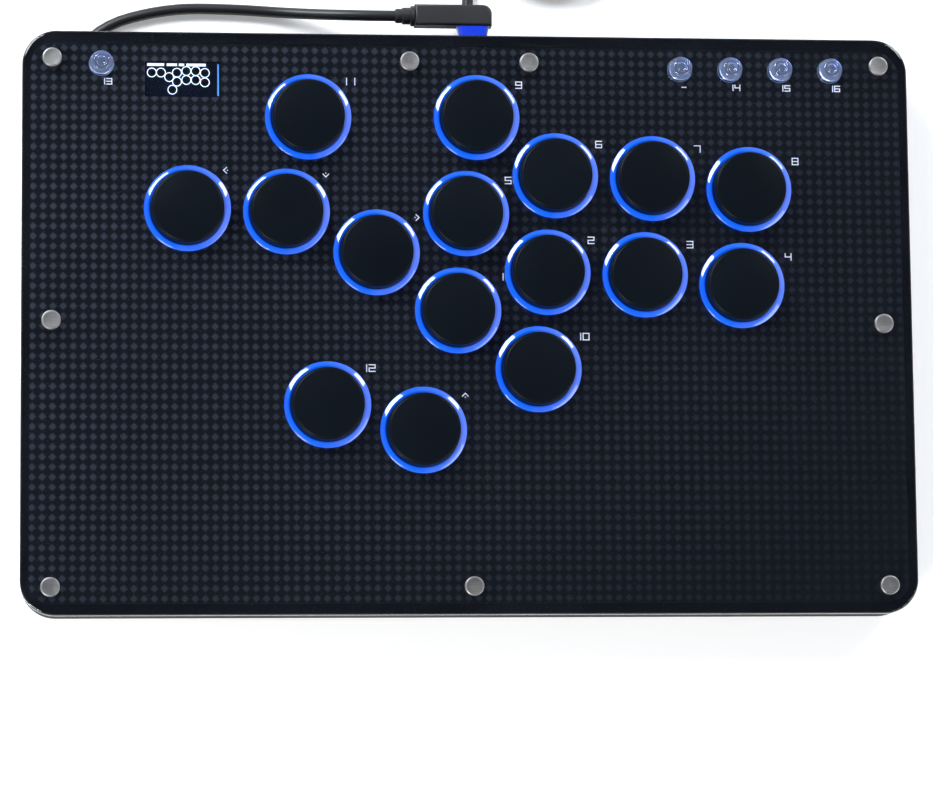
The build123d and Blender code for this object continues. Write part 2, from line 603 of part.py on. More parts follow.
def plug_shell():
    """Metal tongue of the near plug and the lit nose behind it."""
    front = HALF_Y - PLUG_SHELL_REACH
    length = NOSE_Y + 0.5 - front
    sleeve = block((SOCKET_X, front + length / 2), (PLUG_SHELL_WIDTH, length, PLUG_SHELL_HEIGHT),
                   SOCKET_Z - PLUG_SHELL_HEIGHT / 2)
    sleeve = fillet(sleeve.edges().filter_by(Axis.Y), PLUG_SHELL_HEIGHT / 2 - 0.15)
    inner = (PLUG_SHELL_WIDTH - 2 * PLUG_SHELL_WALL, PLUG_SHELL_REACH, PLUG_SHELL_HEIGHT - 2 * PLUG_SHELL_WALL)
    sleeve -= block((SOCKET_X, front + inner[1] / 2 - 0.5), inner, SOCKET_Z - inner[2] / 2)
    nose = block((SOCKET_X, NOSE_Y + PLUG_NOSE_LENGTH / 2), (PLUG_NOSE_WIDTH, PLUG_NOSE_LENGTH, PLUG_NOSE_HEIGHT),
                 SOCKET_Z - PLUG_NOSE_HEIGHT / 2)
    return sleeve + fillet(nose.edges().filter_by(Axis.Y), PLUG_NOSE_EDGE)


def plug_grip():
    """Right-angle moulded grip of the near plug, with a tapered neck for the cord."""
    middle = (GRIP_END_X - GRIP_LENGTH / 2, GRIP_Y + GRIP_DEPTH / 2)
    grip = block(middle, (GRIP_LENGTH, GRIP_DEPTH, GRIP_HEIGHT), SOCKET_Z - GRIP_HEIGHT / 2)
    upright = grip.edges().filter_by(Axis.Z).sort_by(lambda edge: edge.center().X + edge.center().Y)[-1]
    grip = fillet(upright, GRIP_DEPTH / 2)
    rest = [edge for edge in grip.edges().filter_by(Axis.X) if edge.center().Y > GRIP_Y]
    grip = fillet(rest, GRIP_EDGE)
    neck = Pos(NECK_X - NECK_LENGTH / 2, CORD_Y, SOCKET_Z) * Rot(0, -90, 0) * Cone(
        NECK_RADIUS, NECK_END_RADIUS, NECK_LENGTH)
    return grip + neck


def corner_radii(points):
    """The largest arc that each corner's two runs allow."""
    radii = []
    for before, here, after in zip(points, points[1:], points[2:]):
        first = Vector(*here) - Vector(*before)
        second = Vector(*after) - Vector(*here)
        half_turn = math.radians(first.get_angle(second) / 2)
        radii.append(0.45 * min(first.length, second.length) / math.tan(half_turn))
    return radii


def cable():
    """The cord's stretch between the plug's neck and the coil."""
    radii = corner_radii(CORD_POINTS)
    path = FilletPolyline(*CORD_POINTS, radius=radii)
    section = Plane(origin=path @ 0, z_dir=path % 0) * Circle(CORD_DIAMETER / 2)
    tube = sweep(section, path=path)
    print("cord corner radii", [round(radius, 1) for radius in radii])
    print("smallest", round(min(radii) / CORD_DIAMETER, 2), "diameters, limit", CORD_LIMIT_RADIUS)
    expected = math.pi * (CORD_DIAMETER / 2) ** 2 * path.length
    print("cord length", round(path.length, 1), "volume", round(tube.volume, 1), "expected", round(expected, 1))
    return tube


def cable_coil():
    """Outer shape of the coil that holds the rest of the cord."""
    outer = COIL_MIDDLE_RADIUS + WINDING_RADIUS
    height = COIL_LAYERS * CORD_DIAMETER
    ring = disc(COIL_CENTRE, outer, 0.0, height)
    ring -= disc(COIL_CENTRE, COIL_MIDDLE_RADIUS - WINDING_RADIUS, -1.0, height + 2)
    return fillet(ring.edges().filter_by(GeomType.CIRCLE), COIL_EDGE)


def far_plug():
    """Flat plug at the far end, lying beside the coil: a moulded grip and a metal shell."""
    length, depth, height = FAR_PLUG_GRIP
    y = COIL_CENTRE[1] + OUTER_TURN_RADIUS
    grip = block((FAR_PLUG_X + length / 2, y), (length, depth, height), 0.0)
    grip = fillet(grip.edges(), FAR_PLUG_EDGE)
    tail = Pos(FAR_PLUG_X - FAR_PLUG_TAIL / 2 + 0.5, y, height / 2) * Rot(0, -90, 0) * Cone(
        FAR_PLUG_TAIL_RADIUS, CORD_DIAMETER / 2 + 0.2, FAR_PLUG_TAIL)
    shell_length, shell_depth, shell_height = FAR_PLUG_SHELL
    shell = block((FAR_PLUG_X + length + shell_length / 2, y), FAR_PLUG_SHELL, (height - shell_height) / 2)
    hollow = (shell_length, shell_depth - 0.8, shell_height - 0.8)
    shell -= block((FAR_PLUG_X + length + shell_length / 2 + 1.0, y), hollow, (height - hollow[2]) / 2)
    return [grip + tail, shell]


def at(shape, place):
    """A copy of a shape moved to a place on the panel."""
    return Pos(place[0], place[1], 0) * shape


def main():
    """Builds every node and writes it to its own file."""
    os.makedirs("parts", exist_ok=True)
    save("bottom_shell", bottom_shell())
    save("clear_cover", clear_cover())
    save("art_sheet", art_sheet())
    save("switch_plate", switch_plate())
    save("main_board", main_board())
    repeated = {
        "switch_bases": (switch_base(), BUTTONS.values()),
        "switch_tops": (switch_top(), BUTTONS.values()),
        "switch_springs": (spring(), BUTTONS.values()),
        "button_collars": (collar(), BUTTONS.values()),
        "function_switches": (function_switch(), FUNCTIONS.values()),
        "cover_screws": (cover_screw(), SCREWS),
        "base_screws": (base_screw(), SCREWS),
        "posts": (post(), SCREWS),
        "rubber_feet": (foot(), FEET),
    }
    for name, (shape, places) in repeated.items():
        save(name, [at(shape, place) for place in places])
    button_cap = cap()
    button_stem = stem()
    for name, place in BUTTONS.items():
        save(f"cap_{name}", at(button_cap, place))
        save(f"stem_{name}", at(button_stem, place))
    small_cap = function_cap()
    for name, place in FUNCTIONS.items():
        save(f"cap_{name}", at(small_cap, place))
    save("display_glass", display_glass())
    save("display_board", display_board())
    save("board_chips", board_chips())
    save("usb_socket", usb_socket())
    save("plug_shell", plug_shell())
    save("plug_grip", plug_grip())
    save("cable", cable())
    save("cable_coil", cable_coil())
    save("far_plug", far_plug())


main()
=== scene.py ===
import json
import logging
import math
from collections.abc import Callable
from dataclasses import dataclass
from enum import Enum

import bpy
from mathutils import Matrix, Vector


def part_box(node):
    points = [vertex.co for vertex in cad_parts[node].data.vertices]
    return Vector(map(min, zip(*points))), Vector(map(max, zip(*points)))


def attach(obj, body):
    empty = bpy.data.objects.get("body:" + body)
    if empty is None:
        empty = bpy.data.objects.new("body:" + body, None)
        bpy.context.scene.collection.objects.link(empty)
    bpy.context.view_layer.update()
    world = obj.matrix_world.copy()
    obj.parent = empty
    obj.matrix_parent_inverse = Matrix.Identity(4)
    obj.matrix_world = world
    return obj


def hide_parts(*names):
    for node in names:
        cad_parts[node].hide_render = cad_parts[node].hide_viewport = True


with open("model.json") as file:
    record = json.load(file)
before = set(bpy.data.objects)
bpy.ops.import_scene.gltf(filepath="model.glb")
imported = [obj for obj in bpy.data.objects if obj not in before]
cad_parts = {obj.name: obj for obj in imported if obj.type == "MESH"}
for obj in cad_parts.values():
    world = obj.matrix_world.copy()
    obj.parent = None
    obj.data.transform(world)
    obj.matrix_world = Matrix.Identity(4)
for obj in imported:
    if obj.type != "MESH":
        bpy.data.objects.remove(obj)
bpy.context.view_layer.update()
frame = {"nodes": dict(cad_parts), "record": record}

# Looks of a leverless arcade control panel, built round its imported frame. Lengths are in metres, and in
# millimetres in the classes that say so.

LOG = logging.getLogger("panel")
MM = 0.001
GAME_BUTTONS = [
    "left", "down", "right", "up",
    *[f"action_{i}" for i in range(1, 9)],
    *[f"extra_{i}" for i in range(1, 5)],
]
FUNCTION_BUTTONS = [f"function_{i}" for i in range(1, 6)]

Colour = tuple[float, float, float]
Place = tuple[float, float]
Outline = list[Place] | tuple[Place, ...]
RING_MAP = "ring"
DUST_GREY: Colour = (0.3, 0.3, 0.32)
MATERIALS: dict[str, bpy.types.Material] = {}


class Axis(Enum):
    """Which edges of a block are meant, by the axis they run along."""

    X = 0
    Y = 1
    Z = 2
    ALL = 3


# ---------------- measuring the frame


def node_box(node: str) -> tuple[Vector, Vector]:
    """Reads where a node of the frame lies.

    Args:
        node: The node's name.

    Returns:
        Its lowest and highest corners.
    """
    low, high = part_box(node)
    return Vector(low), Vector(high)


def middle_of(low: Vector, high: Vector) -> Place:
    """Finds the middle of a box, seen from above."""
    return (low.x + high.x) / 2, (low.y + high.y) / 2


def node_centre(node: str) -> Place:
    """Finds the middle of a node, seen from above.

    Args:
        node: The node's name.

    Returns:
        Its X and Y.
    """
    return middle_of(*node_box(node))


def islands(node: str) -> list[tuple[Vector, Vector]]:
    """Finds the separate solids of one node.

    Args:
        node: The node's name.

    Returns:
        The lowest and highest corners of each solid, from left to right and front to back.
    """
    mesh = frame["nodes"][node].data
    owner = {}

    def root(key: tuple) -> tuple:
        """Follows a point to the one that stands for its solid."""
        while owner[key] != key:
            owner[key] = owner[owner[key]]
            key = owner[key]
        return key

    def mark(index: int) -> tuple:
        """Names a vertex by its place."""
        key = tuple(round(value, 6) for value in mesh.vertices[index].co)
        owner.setdefault(key, key)
        return key

    for polygon in mesh.polygons:
        keys = [mark(index) for index in polygon.vertices]
        for key in keys[1:]:
            owner[root(key)] = root(keys[0])
    found: dict[tuple, list[Vector]] = {}
    for key in list(owner):
        found.setdefault(root(key), []).append(Vector(key))
    boxes = []
    for points in found.values():
        low = Vector([min(p[axis] for p in points) for axis in range(3)])
        high = Vector([max(p[axis] for p in points) for axis in range(3)])
        boxes.append((low, high))
    return sorted(boxes, key=lambda box: (round(box[0].x, 4), round(box[0].y, 4)))


# ---------------- modelling tools


def deselect() -> None:
    """Leaves nothing selected."""
    if bpy.context.object and bpy.context.object.mode != "OBJECT":
        bpy.ops.object.mode_set(mode="OBJECT")
    bpy.ops.object.select_all(action="DESELECT")


def choose(piece: bpy.types.Object) -> None:
    """Selects one piece alone and makes it the active one.

    Args:
        piece: The piece.
    """
    deselect()
    piece.select_set(True)
    bpy.context.view_layer.objects.active = piece


def clear_picks(piece: bpy.types.Object, kind: str) -> None:
    """Makes ready to pick edges or faces of a piece, with none of them picked.

    Args:
        piece: The piece.
        kind: EDGE or FACE.
    """
    choose(piece)
    bpy.ops.object.mode_set(mode="EDIT")
    bpy.ops.mesh.select_mode(type=kind)
    bpy.ops.mesh.select_all(action="DESELECT")
    bpy.ops.object.mode_set(mode="OBJECT")


def settle(piece: bpy.types.Object, name: str) -> bpy.types.Object:
    """Names a new piece and moves its place into its mesh.

    Args:
        piece: The piece, in object mode.
        name: Its name.

    Returns:
        The same piece.
    """
    piece.name = name
    piece.data.name = name
    piece.data.transform(piece.matrix_world)
    piece.matrix_world = Matrix.Identity(4)
    return piece


def smooth(piece: bpy.types.Object, degrees: float = 40.0) -> None:
    """Shades a piece smooth, apart from edges sharper than an angle.

    Args:
        piece: The piece.
        degrees: The angle.
    """
    choose(piece)
    bpy.ops.object.shade_smooth_by_angle(angle=math.radians(degrees))


def lathe(name: str, centre: Place, outline: Outline, segments: int = 96) -> bpy.types.Object:
    """Turns an outline about an upright axis, one extruded ring after another.

    Args:
        name: The piece's name.
        centre: The axis's X and Y.
        outline: Points of radius and height. An outline that starts and ends at one point makes a ring, and
            one that doesn't has its ends filled.
        segments: How many flats go round.

    Returns:
        The piece.
    """
    deselect()
    bpy.ops.mesh.primitive_circle_add(
        vertices=segments, radius=outline[0][0], location=(centre[0], centre[1], outline[0][1]))
    piece = bpy.context.object
    bpy.ops.object.mode_set(mode="EDIT")
    bpy.ops.mesh.select_all(action="SELECT")
    ring = outline[0] == outline[-1]
    if not ring:
        bpy.ops.mesh.edge_face_add()
    for (r0, z0), (r1, z1) in zip(outline, outline[1:]):
        bpy.ops.mesh.extrude_region_move(TRANSFORM_OT_translate={"value": (0.0, 0.0, z1 - z0)})
        bpy.ops.transform.resize(
            value=(r1 / r0, r1 / r0, 1.0), center_override=(centre[0], centre[1], z1))
    bpy.ops.mesh.select_all(action="SELECT")
    if ring:
        bpy.ops.mesh.remove_doubles(threshold=1e-6)
    bpy.ops.mesh.normals_make_consistent(inside=False)
    bpy.ops.object.mode_set(mode="OBJECT")
    settle(piece, name)
    smooth(piece)
    return piece


def in_metres(outline: Outline) -> Outline:
    """Turns an outline's millimetres into metres."""
    return [(radius * MM, height * MM) for radius, height in outline]


def arc(middle: Place, radius: float, start: float, end: float, steps: int = 8) -> Outline:
    """Points along an arc of an outline.

    Args:
        middle: The arc's centre, as radius and height.
        radius: The arc's own radius.
        start: Its first angle in degrees.
        end: Its last angle in degrees.
        steps: How many points after the first.

    Returns:
        The points.
    """
    points = []
    for i in range(steps + 1):
        angle = math.radians(start + (end - start) * i / steps)
        points.append((middle[0] + radius * math.cos(angle), middle[1] + radius * math.sin(angle)))
    return points


def copy_to(piece: bpy.types.Object, name: str, move: Place) -> bpy.types.Object:
    """Copies a piece, with its own mesh, to another place.

    Args:
        piece: The model.
        name: The copy's name.
        move: How far it goes along X and Y.

    Returns:
        The copy.
    """
    twin = bpy.data.objects.new(name, piece.data.copy())
    twin.data.name = name
    twin.data.transform(Matrix.Translation((move[0], move[1], 0.0)))
    bpy.context.scene.collection.objects.link(twin)
    return twin


def rounded_block(name: str, low: Vector, high: Vector,
                  bevels: list[tuple[Axis, float, int]]) -> bpy.types.Object:
    """Makes a box between two corners with rounded edges.

    Args:
        name: The piece's name.
        low: Its lowest corner.
        high: Its highest corner.
        bevels: For each round, which edges it takes, its width and its segments.

    Returns:
        The piece.
    """
    deselect()
    bpy.ops.mesh.primitive_cube_add(size=1.0, location=(low + high) / 2)
    piece = bpy.context.object
    piece.scale = high - low
    bpy.ops.object.transform_apply(location=False, rotation=False, scale=True)
    settle(piece, name)
    for axis, width, segments in bevels:
        def wanted(a: Vector, b: Vector) -> bool:
            """Tells whether an edge is one of the long ones along the axis."""
            run = b - a
            along = max(range(3), key=lambda k: abs(run[k]))
            return run.length > 0.5 * (high - low)[along] and axis.value in (along, 3)

        bevel_where(piece, wanted, width, segments)
    smooth(piece)
    return piece


def bevel_where(piece: bpy.types.Object, wanted: Callable[[Vector, Vector], bool], width: float,
                segments: int) -> None:
    """Rounds the edges of a piece that answer a question.

    Args:
        piece: The piece.
        wanted: Tells from an edge's two ends whether it is rounded.
        width: How far in the round starts.
        segments: How many flats it has.
    """
    clear_picks(piece, "EDGE")
    for edge in piece.data.edges:
        a, b = (piece.data.vertices[i].co for i in edge.vertices)
        edge.select = wanted(a, b)
    bpy.ops.object.mode_set(mode="EDIT")
    bpy.ops.mesh.bevel(offset=width, segments=segments, profile=0.5, clamp_overlap=True)
    bpy.ops.object.mode_set(mode="OBJECT")


def hollow(piece: bpy.types.Object, wall: float, depth: float) -> None:
    """Sinks the end of a piece that faces +X.

    Args:
        piece: The piece.
        wall: How thick the wall round the hollow is.
        depth: How deep it goes.
    """
    clear_picks(piece, "FACE")
    end = max(vertex.co.x for vertex in piece.data.vertices)
    for polygon in piece.data.polygons:
        polygon.select = all(piece.data.vertices[i].co.x > end - 1e-6 for i in polygon.vertices)
    bpy.ops.object.mode_set(mode="EDIT")
    bpy.ops.mesh.inset(thickness=wall)
    bpy.ops.mesh.extrude_region_move(TRANSFORM_OT_translate={"value": (-depth, 0.0, 0.0)})
    bpy.ops.object.mode_set(mode="OBJECT")


def ride(piece: bpy.types.Object, finish: "Finish", body: str, slot: str, *nodes: str) -> None:
    """Gives a piece its finish and fixes it to the frame.

    Args:
        piece: The piece.
        finish: Its finish.
        body: The body that it moves with.
        slot: The frame's material slot that it belongs to; not used.
        nodes: The nodes that it stands for.
    """
    piece.data.materials.clear()
    piece.data.materials.append(MATERIALS[finish.name])
    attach(piece, body)
    if nodes:
        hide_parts(*nodes)
    LOG.info("made %s on %s", piece.name, body)


# ---------------- shader tools


class NodeWork:
    """A tree of shader nodes, put together node by node."""

    def __init__(self, tree: bpy.types.NodeTree) -> None:
        """Takes the tree that the nodes go into."""
        self.tree = tree

    def add(self, kind: str, **settings: object) -> bpy.types.Node:
        """Adds a node and gives it its settings.

        Args:
            kind: The node's type.
            settings: The node's own attributes.

        Returns:
            The node.
        """
        node = self.tree.nodes.new(kind)
        for key, value in settings.items():
            setattr(node, key, value)
        return node

    def link(self, source: bpy.types.NodeSocket, target: bpy.types.NodeSocket) -> None:
        """Joins two sockets."""
        self.tree.links.new(source, target)

    def maths(self, operation: str, *values: bpy.types.NodeSocket | float) -> bpy.types.NodeSocket:
        """Works one sum.

        Args:
            operation: The sum's name.
            values: Its numbers or sockets.

        Returns:
            The result.
        """
        node = self.add("ShaderNodeMath", operation=operation)
        for socket, value in zip(node.inputs, values):
            if isinstance(value, (int, float)):
                socket.default_value = value
            else:
                self.link(value, socket)
        return node.outputs[0]


class Shader(NodeWork):
    """One Principled material."""

    def __init__(self, name: str) -> None:
        """Starts the material.

        Args:
            name: The material's name.
        """
        self.material = bpy.data.materials.new(name)
        self.material.use_nodes = True
        super().__init__(self.material.node_tree)
        self.surface = self.tree.nodes["Principled BSDF"]
        self.place = self.add("ShaderNodeTexCoord").outputs["Object"]

    def effect(self, group: bpy.types.NodeTree, **values: float) -> bpy.types.Node:
        """Places a shared effect on the surface's own coordinates.

        Args:
            group: The effect's node group.
            values: The group's inputs.

        Returns:
            The group's node.
        """
        node = self.add("ShaderNodeGroup", node_tree=group)
        self.link(self.place, node.inputs["Place"])
        for key, value in values.items():
            node.inputs[key].default_value = value
        return node

    def set(self, **values: object) -> None:
        """Sets the surface's own sockets, with spaces written as underscores."""
        for key, value in values.items():
            self.surface.inputs[key.replace("_", " ")].default_value = value

    def mix(self, mask: bpy.types.NodeSocket, low: Colour | bpy.types.NodeSocket,
            high: Colour) -> bpy.types.NodeSocket:
        """Blends two colours by a mask.

        Args:
            mask: Where the second colour shows.
            low: The first colour, or a socket that gives it.
            high: The second colour.

        Returns:
            The blended colour.
        """
        node = self.add("ShaderNodeMix", data_type="RGBA")
        self.link(mask, node.inputs["Factor"])
        if isinstance(low, bpy.types.NodeSocket):
            self.link(low, node.inputs["A"])
        else:
            node.inputs["A"].default_value = (*low, 1.0)
        node.inputs["B"].default_value = (*high, 1.0)
        return node.outputs["Result"]

    def spread(self, value: bpy.types.NodeSocket, low: float, high: float) -> bpy.types.NodeSocket:
        """Stretches a mask over a range.

        Args:
            value: The mask, from 0 to 1.
            low: What 0 becomes.
            high: What 1 becomes.

        Returns:
            The stretched value.
        """
        node = self.add("ShaderNodeMapRange")
        self.link(value, node.inputs["Value"])
        node.inputs["To Min"].default_value = low
        node.inputs["To Max"].default_value = high
        return node.outputs["Result"]

    def bump(self, height: bpy.types.NodeSocket, depth: float, strength: float) -> None:
        """Raises the surface by a height.

        Args:
            height: The height, from 0 to 1.
            depth: How far 1 is, in metres.
            strength: How much of it shows.
        """
        node = self.add("ShaderNodeBump")
        node.inputs["Distance"].default_value = depth
        node.inputs["Strength"].default_value = strength
        self.link(height, node.inputs["Height"])
        self.link(node.outputs["Normal"], self.surface.inputs["Normal"])


class Effect(NodeWork):
    """One shared effect, as a shader node group with named inputs and outputs."""

    def __init__(self, name: str, inputs: dict[str, float], outputs: list[str]) -> None:
        """Starts the group.

        Args:
            name: The group's name.
            inputs: The name and usual value of each number that goes in.
            outputs: The name of each value that comes out.
        """
        super().__init__(bpy.data.node_groups.new(name, "ShaderNodeTree"))
        sockets = self.tree.interface
        sockets.new_socket(name="Place", in_out="INPUT", socket_type="NodeSocketVector")
        for key, value in inputs.items():
            socket = sockets.new_socket(name=key, in_out="INPUT", socket_type="NodeSocketFloat")
            socket.default_value = value
        for key in outputs:
            sockets.new_socket(name=key, in_out="OUTPUT", socket_type="NodeSocketFloat")
        self.inside = self.add("NodeGroupInput").outputs
        self.outside = self.add("NodeGroupOutput").inputs

    def noise(self, place: bpy.types.NodeSocket, scale: bpy.types.NodeSocket,
              detail: float) -> bpy.types.NodeSocket:
        """Adds cloudy noise.

        Args:
            place: Where it is read.
            scale: How fine it is, in clouds per metre.
            detail: How many finer layers it has.

        Returns:
            The noise, from 0 to 1.
        """
        node = self.add("ShaderNodeTexNoise")
        node.inputs["Detail"].default_value = detail
        self.link(place, node.inputs["Vector"])
        self.link(scale, node.inputs["Scale"])
        return node.outputs["Fac"]


def grain_effect() -> bpy.types.NodeTree:
    """Fine moulded grain, with broad uneven patches.

    Returns:
        A group that gives Patches and Grain.
    """
    effect = Effect("grain", {"Fine": 2500.0, "Broad": 30.0}, ["Patches", "Grain"])
    place = effect.inside["Place"]
    effect.link(effect.noise(place, effect.inside["Broad"], 3.0), effect.outside["Patches"])
    effect.link(effect.noise(place, effect.inside["Fine"], 2.0), effect.outside["Grain"])
    return effect.tree


def brush_effect() -> bpy.types.NodeTree:
    """Straight brushed lines, long along X.

    Returns:
        A group that gives Lines.
    """
    effect = Effect("brushed", {"Fine": 5000.0, "Stretch": 0.06}, ["Lines"])
    apart = effect.add("ShaderNodeSeparateXYZ")
    effect.link(effect.inside["Place"], apart.inputs[0])
    joined = effect.add("ShaderNodeCombineXYZ")
    effect.link(effect.maths("MULTIPLY", apart.outputs["X"], effect.inside["Stretch"]), joined.inputs["X"])
    effect.link(apart.outputs["Y"], joined.inputs["Y"])
    effect.link(apart.outputs["Z"], joined.inputs["Z"])
    effect.link(effect.noise(joined.outputs[0], effect.inside["Fine"], 3.0), effect.outside["Lines"])
    return effect.tree


def dust_effect() -> bpy.types.NodeTree:
    """Sparse fine specks.

    Returns:
        A group that gives Specks.
    """
    effect = Effect("dust", {"Fine": 900.0, "Amount": 0.72}, ["Specks"])
    cloud = effect.noise(effect.inside["Place"], effect.inside["Fine"], 4.0)
    effect.link(effect.maths("GREATER_THAN", cloud, effect.inside["Amount"]), effect.outside["Specks"])
    return effect.tree


def weave_effect() -> bpy.types.NodeTree:
    """A square grid of soft diamonds, as on woven carbon print.

    Returns:
        A group that gives the spots, the threads and a painted light falloff, brightest at the left rear and
        falling towards the right front.
    """
    sizes = {"Pitch": 0.00336, "Threads": 3200.0, "PaintedLightReach": 0.38}
    effect = Effect("weave", sizes, ["Spots", "Threads", "Fade"])
    apart = effect.add("ShaderNodeSeparateXYZ")
    effect.link(effect.inside["Place"], apart.inputs[0])
    sides = []
    for axis in ("X", "Y"):
        cell = effect.maths("FRACT", effect.maths("DIVIDE", apart.outputs[axis], effect.inside["Pitch"]))
        sides.append(effect.maths("ABSOLUTE", effect.maths("SUBTRACT", cell, 0.5)))
    square = effect.maths("MULTIPLY", effect.maths("MAXIMUM", *sides), 0.25)
    diamond = effect.maths("MULTIPLY", effect.maths("ADD", *sides), 0.74)
    shape = effect.maths("ADD", square, diamond)
    soft = effect.add("ShaderNodeMapRange", interpolation_type="SMOOTHSTEP")
    effect.link(shape, soft.inputs["Value"])
    soft.inputs["From Min"].default_value = 0.50
    soft.inputs["From Max"].default_value = 0.20
    effect.link(soft.outputs["Result"], effect.outside["Spots"])
    threads = effect.noise(effect.inside["Place"], effect.inside["Threads"], 2.0)
    effect.link(threads, effect.outside["Threads"])
    # Painted light: a brightness falloff from the left rear to the right front, standing in for the lamp's
    # reflection on the sheet.
    painted_light_slope = effect.maths("SUBTRACT", apart.outputs["Y"], apart.outputs["X"])
    painted_light = effect.maths("ADD", effect.maths("DIVIDE", painted_light_slope, effect.inside["PaintedLightReach"]), 0.55)
    effect.link(effect.maths("MINIMUM", effect.maths("MAXIMUM", painted_light, 0.0), 1.0), effect.outside["Fade"])
    return effect.tree


GRAIN = grain_effect()
BRUSH = brush_effect()
DUST = dust_effect()
WEAVE = weave_effect()


# ---------------- finishes


@dataclass(frozen=True)
class Moulded:
    """Moulded plastic, rubber or lacquer: two near colours in patches, a fine grain, a little dust and, where
    set, a painted glow.
    """

    name: str
    colour: Colour
    patch: Colour
    roughness: float = 0.45
    spread: float = 0.12
    grain: float = 2500.0
    depth: float = 0.00002
    coat: float = 0.0
    specular: float = 0.5
    dust: float = 0.0
    glow: float = 0.0

    def make(self) -> bpy.types.Material:
        """Builds the material.

        Returns:
            The material.
        """
        shader = Shader(self.name)
        grain = shader.effect(GRAIN, Fine=self.grain)
        colour = shader.mix(grain.outputs["Patches"], self.colour, self.patch)
        if self.dust:
            specks = shader.effect(DUST).outputs["Specks"]
            colour = shader.mix(shader.spread(specks, 0.0, self.dust), colour, DUST_GREY)
        shader.link(colour, shader.surface.inputs["Base Color"])
        low, high = self.roughness - self.spread / 2, self.roughness + self.spread / 2
        shader.link(shader.spread(grain.outputs["Patches"], low, high), shader.surface.inputs["Roughness"])
        shader.bump(grain.outputs["Grain"], self.depth, 0.5)
        shader.set(Coat_Weight=self.coat, Coat_Roughness=0.08, Specular_IOR_Level=self.specular)
        # Painted light: a glow in the patch colour, though the part is no lamp.
        shader.set(Emission_Color=(*self.patch, 1.0), Emission_Strength=self.glow)
        return shader.material


@dataclass(frozen=True)
class Brushed:
    """Bare metal with fine straight lines."""

    name: str
    colour: Colour
    line: Colour
    roughness: float = 0.35
    fine: float = 5000.0

    def make(self) -> bpy.types.Material:
        """Builds the material.

        Returns:
            The material.
        """
        shader = Shader(self.name)
        lines = shader.effect(BRUSH, Fine=self.fine).outputs["Lines"]
        patches = shader.effect(GRAIN, Broad=400.0).outputs["Patches"]
        shader.link(shader.mix(lines, self.colour, self.line), shader.surface.inputs["Base Color"])
        shader.link(shader.spread(patches, self.roughness - 0.1, self.roughness + 0.1),
                    shader.surface.inputs["Roughness"])
        shader.bump(lines, 0.00001, 0.4)
        shader.set(Metallic=1.0)
        return shader.material


@dataclass(frozen=True)
class Clear:
    """Clear acrylic or glass with faint handling haze and, where set, a painted glow."""

    name: str
    colour: Colour
    refraction: float = 1.49
    haze: float = 0.04
    glow: float = 0.0

    def make(self) -> bpy.types.Material:
        """Builds the material.

        Returns:
            The material.
        """
        shader = Shader(self.name)
        patches = shader.effect(GRAIN, Broad=60.0).outputs["Patches"]
        shader.link(shader.spread(patches, 0.0, self.haze), shader.surface.inputs["Roughness"])
        shader.set(Base_Color=(*self.colour, 1.0), IOR=self.refraction, Transmission_Weight=1.0)
        # Painted light: an emission in the tint colour, with no lamp behind it.
        shader.set(Emission_Color=(*self.colour, 1.0), Emission_Strength=self.glow)
        return shader.material


@dataclass(frozen=True)
class Woven:
    """Printed sheet with a woven carbon look, its spots lightened by painted light towards the left rear."""

    name: str
    ground: Colour
    thread: Colour
    spot: Colour

    def make(self) -> bpy.types.Material:
        """Builds the material.

        Returns:
            The material.
        """
        shader = Shader(self.name)
        weave = shader.effect(WEAVE)
        threads = weave.outputs["Threads"]
        # Painted light: the spots are scaled by the falloff, lighter at the left rear and darker at the right
        # front.
        painted_light = shader.spread(weave.outputs["Fade"], 0.14, 1.0)
        painted_light_spots = shader.maths("MULTIPLY", weave.outputs["Spots"], painted_light)
        ragged = shader.maths("MULTIPLY", painted_light_spots, shader.spread(threads, 0.35, 1.5))
        colour = shader.mix(ragged, shader.mix(threads, self.ground, self.thread), self.spot)
        shader.link(colour, shader.surface.inputs["Base Color"])
        shader.link(shader.spread(threads, 0.45, 0.7), shader.surface.inputs["Roughness"])
        shader.set(Specular_IOR_Level=0.08)
        shader.bump(weave.outputs["Spots"], 0.00004, 0.4)
        return shader.material


@dataclass(frozen=True)
class Lit:
    """Clear light guide, lit from inside; its glow is painted deeper at one side and paler at the other by
    the ring's own map, as painted light and shade.
    """

    name: str
    deep: Colour
    bright: Colour
    pale: Colour
    strength: float

    def make(self) -> bpy.types.Material:
        """Builds the material.

        Returns:
            The material.
        """
        shader = Shader(self.name)
        ring = shader.add("ShaderNodeUVMap", uv_map=RING_MAP).outputs["UV"]
        apart = shader.add("ShaderNodeSeparateXYZ")
        shader.link(ring, apart.inputs[0])
        # Painted light and shade: the emission runs from the deep colour on the left of each ring to the
        # paler one on its right.
        ramp = shader.add("ShaderNodeValToRGB")
        ramp.color_ramp.elements[0].color = (*self.deep, 1.0)
        ramp.color_ramp.elements[1].color = (*self.pale, 1.0)
        ramp.color_ramp.elements[1].position = 0.92
        middle = ramp.color_ramp.elements.new(0.5)
        middle.color = (*self.bright, 1.0)
        patches = shader.effect(GRAIN, Broad=160.0).outputs["Patches"]
        wave = shader.maths("MULTIPLY_ADD", patches, 0.35, apart.outputs["X"])
        shader.link(shader.spread(wave, -0.12, 0.88), ramp.inputs["Fac"])
        shader.link(ramp.outputs["Color"], shader.surface.inputs["Emission Color"])
        shader.link(shader.spread(patches, 0.04, 0.14), shader.surface.inputs["Roughness"])
        shader.set(Base_Color=(*self.deep, 1.0), Emission_Strength=self.strength)
        shader.set(Coat_Weight=1.0, Coat_Roughness=0.03)
        return shader.material


